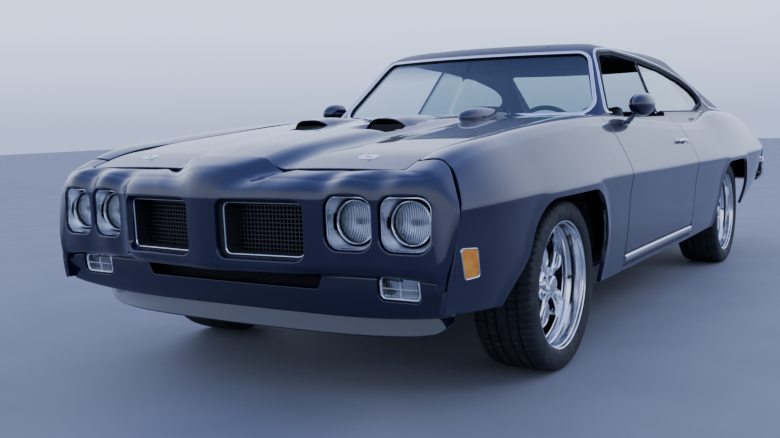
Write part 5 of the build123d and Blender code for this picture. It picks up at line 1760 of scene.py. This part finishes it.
def stuffed(bm, cap, voxel=0.006, frames=20):
    """Swell a closed shape by air pressure as upholstery swells, with no point moving more than cap metres."""
    mesh = bpy.data.meshes.new("stuffing")
    bm.to_mesh(mesh)
    bm.free()
    obj = bpy.data.objects.new("stuffing", mesh)
    scene = bpy.context.scene
    scene.collection.objects.link(obj)

    def baked():
        found = bpy.data.meshes.new_from_object(obj.evaluated_get(bpy.context.evaluated_depsgraph_get()))
        obj.modifiers.clear()
        return found

    skin = obj.modifiers.new("even skin", "REMESH")
    skin.mode, skin.voxel_size = "VOXEL", voxel
    obj.data = baked()
    smooth = obj.modifiers.new("soft", "SMOOTH")
    smooth.factor, smooth.iterations = 0.5, 8
    obj.data = baked()
    start = np.array([v.co for v in obj.data.vertices])
    cloth = obj.modifiers.new("air", "CLOTH")
    cloth.settings.use_pressure = True
    cloth.settings.uniform_pressure_force = 4
    cloth.settings.effector_weights.gravity = 0
    cloth.settings.quality = 4
    cloth.collision_settings.use_collision = False
    cloth.point_cache.frame_start, cloth.point_cache.frame_end = 1, frames
    for frame_number in range(1, frames + 1):
        scene.frame_set(frame_number)
    obj.data = baked()
    scene.frame_set(1)
    now = np.array([v.co for v in obj.data.vertices])
    move = now - start
    far = np.linalg.norm(move, axis=1, keepdims=True)
    now = start + move * np.minimum(1, cap / far.clip(1e-9))
    obj.data.vertices.foreach_set("co", now.ravel())
    finer = obj.modifiers.new("finer", "SUBSURF")
    finer.levels = finer.render_levels = 1
    obj.data = baked()
    out = bmesh.new()
    out.from_mesh(obj.data)
    bpy.data.objects.remove(obj)
    return out


def channelled(bm, axis, lines, depth, width, inside):
    """Press sewn channels into an upholstered face."""
    bm.normal_update()
    for v in bm.verts:
        if inside(v.co):
            away = min(abs(v.co[axis] - line) for line in lines)
            v.co -= v.normal * depth * math.exp(-(away / width) ** 2)
    return bm


def upholstered(name, bm, node):
    """An upholstered piece and its mirror image."""
    for made in pair(name, bm, "trim", ("body", "body"), (node, ""), sharp=60, weighted=False):
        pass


class BuildCabin(bpy.types.Operator):
    """Seats, dashboard, console, steering wheel and shelf"""
    bl_idname = "car.cabin"
    bl_label = "Cabin"

    def execute(self, context):
        # Bucket seats: cushion and tall back
        cushion = stuffed(rounded_block(190, 580, -262, 150, 420, 500, 34, 4), 0.022)
        channelled(cushion, 1, [y * MM for y in range(-200, 101, 50)], 0.005, 0.006,
                   lambda p: p.z > 0.49 and abs(p.x - 0.385) < 0.135)
        channelled(cushion, 0, [0.385 - 0.14, 0.385 + 0.14], 0.006, 0.006, lambda p: p.z > 0.47)
        back = stuffed(lofted_plan([section(385, y, z, w, d, 40, 4, "xy") for z, y, w, d in (
            (500, 196, 180, 40), (530, 202, 196, 52), (700, 252, 204, 52), (830, 292, 196, 46), (900, 314, 168, 40),
            (960, 334, 140, 36), (1000, 348, 122, 30), (1014, 354, 96, 18))]), 0.018)
        channelled(back, 2, [z * MM for z in range(560, 860, 50)], 0.005, 0.006,
                   lambda p: p.y < 0.25 + (p.z - 0.7) * 0.3 and abs(p.x - 0.385) < 0.125)
        upholstered("seat_cushion", cushion, "front_seats")
        upholstered("seat_back", back, "")
        base = rounded_block(210, 560, -235, 200, 300, 425, 18, 3)
        for x in (230, 540):
            join(base, rounded_block(x - 14, x + 14, -230, 210, 268, 304, 4, 2, 1))
        piece("seat_bases", both_sides(base), "black_plastic", "body", looks=["black_plastic", "steel"])

        bench = stuffed(rounded_block(46, 556, 690, 1090, 420, 500, 36, 4), 0.02)
        channelled(bench, 1, [y * MM for y in range(740, 1050, 50)], 0.005, 0.006,
                   lambda p: p.z > 0.49 and abs(p.x - 0.3) < 0.17)
        rest = stuffed(lofted_plan([section(301, y, z, w, d, 40, 4.5, "xy") for z, y, w, d in (
            (500, 1120, 240, 50), (540, 1130, 256, 56), (700, 1170, 256, 54), (830, 1212, 250, 44),
            (876, 1228, 236, 26))]),
            0.016)
        channelled(rest, 2, [z * MM for z in range(560, 840, 50)], 0.005, 0.006,
                   lambda p: p.y < 1.17 + (p.z - 0.7) * 0.25 and abs(p.x - 0.3) < 0.17)
        upholstered("rear_cushion", bench, "rear_seat")
        upholstered("rear_back", rest, "")
        piece("rear_seat_base", rounded_block(-560, 560, 690, 1150, 350, 424, 10, 2), "trim", "body")

        # Dashboard: padded top, instrument panel, round dials with bright rims
        edge = filleted([(-836, 720), (-720, 668), (-622, 716), (-616, 830), (-598, 880), (-640, 922), (-836, 930)],
                        [6, 20, 18, 30, 26, 40, 6], 6)
        dash = lofted_plan([[(x, y, z) for y, z in edge] for x in (-690, -300, 0, 300, 690)])
        for x, radius in ((232, 34), (318, 52), (430, 52), (516, 34)):
            at = (x * MM, -0.612, 0.812)
            join(dash, turned([(-6, 0), (-6, radius), (4, radius), (6, radius - 3), (3, radius - 7), (2.4, 0)], at,
                              (0, 0.98, 0.2), 40, 1))
            join(dash, turned([(2.5, 0), (2.5, radius - 8), (3.4, radius - 8), (3.4, 0)], at, (0, 0.98, 0.2), 40, 2))
            hand = rounded_block(x - 1.2, x + 1.2, -609, -607.6, 812, 812 + radius - 14, 0.4, 1, 3)
            join(dash, hand)
        join(dash, rounded_block(-560, -140, -624, -608, 770, 842, 5, 2, 0))
        join(dash, rounded_block(-96, 96, -626, -606, 740, 850, 6, 2, 2))
        for x in (-60, 60):
            join(dash, turned([(0, 0), (0, 13), (16, 11), (18, 9), (18.5, 0)], (x * MM, -0.606, 0.79), (0, 1, 0), 24,
                              1))
        piece("dash_panel", dash, "black_plastic", "body", "dashboard",
              looks=["black_plastic", "chrome", "lens_black", "pointer"])

        # Steering wheel: padded rim, three bright spokes, plain horn button
        centre, axis = Vector((370, -430, 835)) * MM, Vector((0, 0.94, 0.342))
        rim = turned([(12 * math.cos(t), 176 + 12 * math.sin(t)) for t in np.linspace(0, 2 * math.pi, 17)], centre,
                     axis, 88, up=(1, 0, 0))
        tilt = Matrix((Vector((1, 0, 0)), Vector((0, -0.342, 0.94)), axis)).transposed()
        for turn in (0, 180, 270):
            way = Matrix.Rotation(math.radians(turn), 3, "Z")
            rings = [[centre + tilt @ (way @ Vector((r, a * w, h + b * 2.2))) * MM
                      for a, b in ((-1, -1), (1, -1), (1, 1), (-1, 1))]
                     for r, w, h in ((20, 20, -14), (70, 17, -12), (120, 14, -7), (172, 16, 0))]
            join(rim, extruded_rings(rings, material=1))
        join(rim, turned([(-40, 0), (-40, 28), (-16, 30), (-6, 40), (2, 38), (8, 24), (10, 0)], centre, axis, 40, 0,
                         up=(1, 0, 0)))
        piece("steering_wheel_rim", rim, "black_plastic", "steering_wheel", "steering_wheel",
              looks=["black_plastic", "polished"])

        console = rounded_block(-96, 96, -556, 436, 446, 542, 16, 3)
        join(console, rounded_block(-78, 78, 60, 400, 530, 566, 16, 3, 1))
        join(console, rounded_block(-52, 92, -430, -230, 538, 548, 4, 2, 2))
        join(console, turned([(0, 10), (6, 9), (30, 6), (130, 6), (131, 0)], (0.02, -0.33, 0.543), (0, 0.12, 1), 16, 2,
                             up=(1, 0, 0)))
        join(console, turned([(-16, 0), (-15, 9), (-6, 20), (8, 22), (18, 15), (22, 0)], (0.02, -0.312, 0.672),
                             (0, 0.12, 1), 24, 0, up=(1, 0, 0)))
        piece("console_box", console, "black_plastic", "body", "console",
              looks=["black_plastic", "trim", "polished"])

        # Shelf behind the seats, quarter linings and the inside mirror
        shelf = rounded_block(-600, 600, 1205, 1552, 930, 944, 4, 2)
        lining = rounded_block(596, 770, 262, 1290, 474, 938, 22, 3)
        rest = rounded_block(560, 620, 680, 1000, 640, 690, 16, 3)
        join(lining, rest)
        join(shelf, both_sides(lining))
        join(shelf, rounded_block(-110, 110, -410, -392, 1196, 1248, 8, 3, 1))
        join(shelf, rounded_block(-6, 6, -402, -384, 1240, 1292, 2, 1, 1))
        # Bulkhead behind the rear seat, and the floor's edges down to the sills
        join(shelf, rounded_block(-640, 640, 1293, 1303, 340, 932, 3, 1, 1))
        join(shelf, both_sides(rounded_block(680, 858, -922, 880, 333, 345, 3, 1, 1)))
        piece("cabin_linings", shelf, "trim", "body", looks=["trim", "black_plastic"])
        return {"FINISHED"}


PIPE_END = Vector((0.56, 2.561, 0.238))


class FinishUnderside(bpy.types.Operator):
    """Finishes of the chassis, engine and running gear, which keep their CAD shapes"""
    bl_idname = "car.underside"
    bl_label = "Underside finishes"

    def execute(self, context):
        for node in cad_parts.values():
            for slot in node.material_slots:
                slot.material = finish(slot.material.name.split(".")[0])
        # Shelves between the nose and the front wheelhouses
        shelf = rounded_block(330, 852, -2345, -1985, 466, 474, 3, 1)
        piece("bay_shelves", both_sides(shelf), "chassis", "body")
        # Near-black bores in the ends of the exhaust pipes, painted shade inside them
        bore = turned([(-1, 0), (-1, 23.5), (1.2, 26.5), (2.5, 25), (1.2, 23.5), (0.8, 0)], PIPE_END, (0, 1, 0), 32)
        for f in bore.faces:
            off = f.calc_center_median() - PIPE_END
            f.material_index = int(math.hypot(off.x, off.z) < 0.0225)
        piece("exhaust_ends", both_sides(bore), "steel", "body", looks=["steel", "shadow"])
        return {"FINISHED"}


# Sensor width in millimetres; the photograph's focal length and width in pixels
SENSOR_WIDTH, FOCAL_PIXELS, PHOTO_PIXELS = 36, 908.5, 780


class BuildStage(bpy.types.Operator):
    """Floor, soft studio light and the camera at the photograph's place"""
    bl_idname = "car.stage"
    bl_label = "Studio"

    def execute(self, context):
        half = context.scene.car.floor_size / 2
        bm = bmesh.new()
        bmesh.ops.create_grid(bm, x_segments=1, y_segments=1, size=half)
        mesh = bpy.data.meshes.new("studio_floor")
        bm.to_mesh(mesh)
        bm.free()
        floor = bpy.data.objects.new("studio_floor", mesh)
        context.scene.collection.objects.link(floor)
        material, tree, surface, place = coated("pale studio floor", Roughness=0.7)
        tree.links.new(varied(tree, place, 2.0, linear("#747579"), linear("#7b7c80"), 4.0),
                       surface.inputs["Base Color"])
        mesh.materials.append(material)

        world = bpy.data.worlds.new("studio")
        context.scene.world = world
        world.use_nodes = True
        tree = world.node_tree
        tree.nodes.clear()
        up = put(tree, "ShaderNodeSeparateXYZ", {0: put(tree, "ShaderNodeTexCoord").outputs["Generated"]})
        ramp = put(tree, "ShaderNodeValToRGB", {"Fac": up.outputs[2]})
        stops = ramp.color_ramp
        stops.elements[0].position, stops.elements[0].color = 0.0, linear("#93a2c6")
        stops.elements[1].position, stops.elements[1].color = 1.0, linear("#7f96e2")
        for at, code in ((0.04, "#abbae0"), (0.1, "#c8d7fc"), (0.34, "#cfdcff"), (0.54, "#bccbf9"), (0.76, "#95aaee")):
            stops.elements.new(at).color = linear(code)
        light = put(tree, "ShaderNodeBackground", {"Color": ramp.outputs[0], "Strength": 2.1})
        put(tree, "ShaderNodeOutputWorld", {"Surface": light.outputs[0]})

        for name, place_at, target, size, power in (
            ("overhead softbox", (0.0, 1.0, 8.0), (0, 0.5, 0), (8.0, 13.0), 60),
            ("side softbox", (8.0, 3.0, 7.0), (0, 0.2, 0.6), (5.0, 3.0), 320),
        ):
            lamp = bpy.data.lights.new(name, "AREA")
            lamp.color = linear("#d6dfff")[:3]
            lamp.shape, lamp.size, lamp.size_y, lamp.energy = "RECTANGLE", *size, power
            obj = bpy.data.objects.new(name, lamp)
            context.scene.collection.objects.link(obj)
            # Lit by them, but mirrored in the paint only as the even surroundings
            obj.visible_glossy = False
            obj.location = place_at
            obj.rotation_euler = (Vector(target) - Vector(place_at)).to_track_quat("-Z", "Y").to_euler()

        # The photograph's camera, fitted to its wheels, lamps and hood
        yaw, pitch, roll = (math.radians(v) for v in (-31.97, -6.163, -1.464))
        view = Vector((math.sin(yaw) * math.cos(pitch), math.cos(yaw) * math.cos(pitch), math.sin(pitch)))
        right = view.cross(Vector((0, 0, 1))).normalized()
        up = right.cross(view)
        right, up = (right * math.cos(roll) + up * math.sin(roll), up * math.cos(roll) - right * math.sin(roll))
        camera = bpy.data.objects.new("camera", bpy.data.cameras.new("camera"))
        context.scene.collection.objects.link(camera)
        turn = Matrix((right, up, -view)).transposed()
        camera.matrix_world = Matrix.Translation((2.123, -4.781, 0.956)) @ turn.to_4x4()
        camera.data.sensor_width = SENSOR_WIDTH
        camera.data.lens = SENSOR_WIDTH * FOCAL_PIXELS / PHOTO_PIXELS
        camera.data.clip_start, camera.data.clip_end = 0.05, 200
        context.scene.camera = camera
        return {"FINISHED"}


class CarPanel(bpy.types.Panel):
    """Lists the car's pieces in the order in which they are built"""
    bl_idname = "VIEW3D_PT_car"
    bl_label = "Muscle car"
    bl_space_type = "VIEW_3D"
    bl_region_type = "UI"
    bl_category = "Car"

    def draw(self, context):
        for name in CarSettings.__annotations__:
            self.layout.prop(context.scene.car, name)
        for step in STEPS:
            self.layout.operator(step.bl_idname)


STEPS = [BuildStage, BuildPanels, BuildNose, BuildLids, BuildHouse, BuildValance, BuildGrilles, BuildLamps,
         BuildScoops, BuildGlass, BuildSideTrim, BuildRear, BuildWheels, BuildCabin, FinishUnderside]


def register():
    for item in (CarSettings, *STEPS, CarPanel):
        bpy.utils.register_class(item)
    bpy.types.Scene.car = PointerProperty(type=CarSettings)


def unregister():
    del bpy.types.Scene.car
    for item in (CarPanel, *reversed(STEPS), CarSettings):
        bpy.utils.unregister_class(item)


def main():
    register()
    for step in STEPS:
        group, name = step.bl_idname.split(".")
        getattr(getattr(bpy.ops, group), name)()


if __name__ == "__main__":
    main()
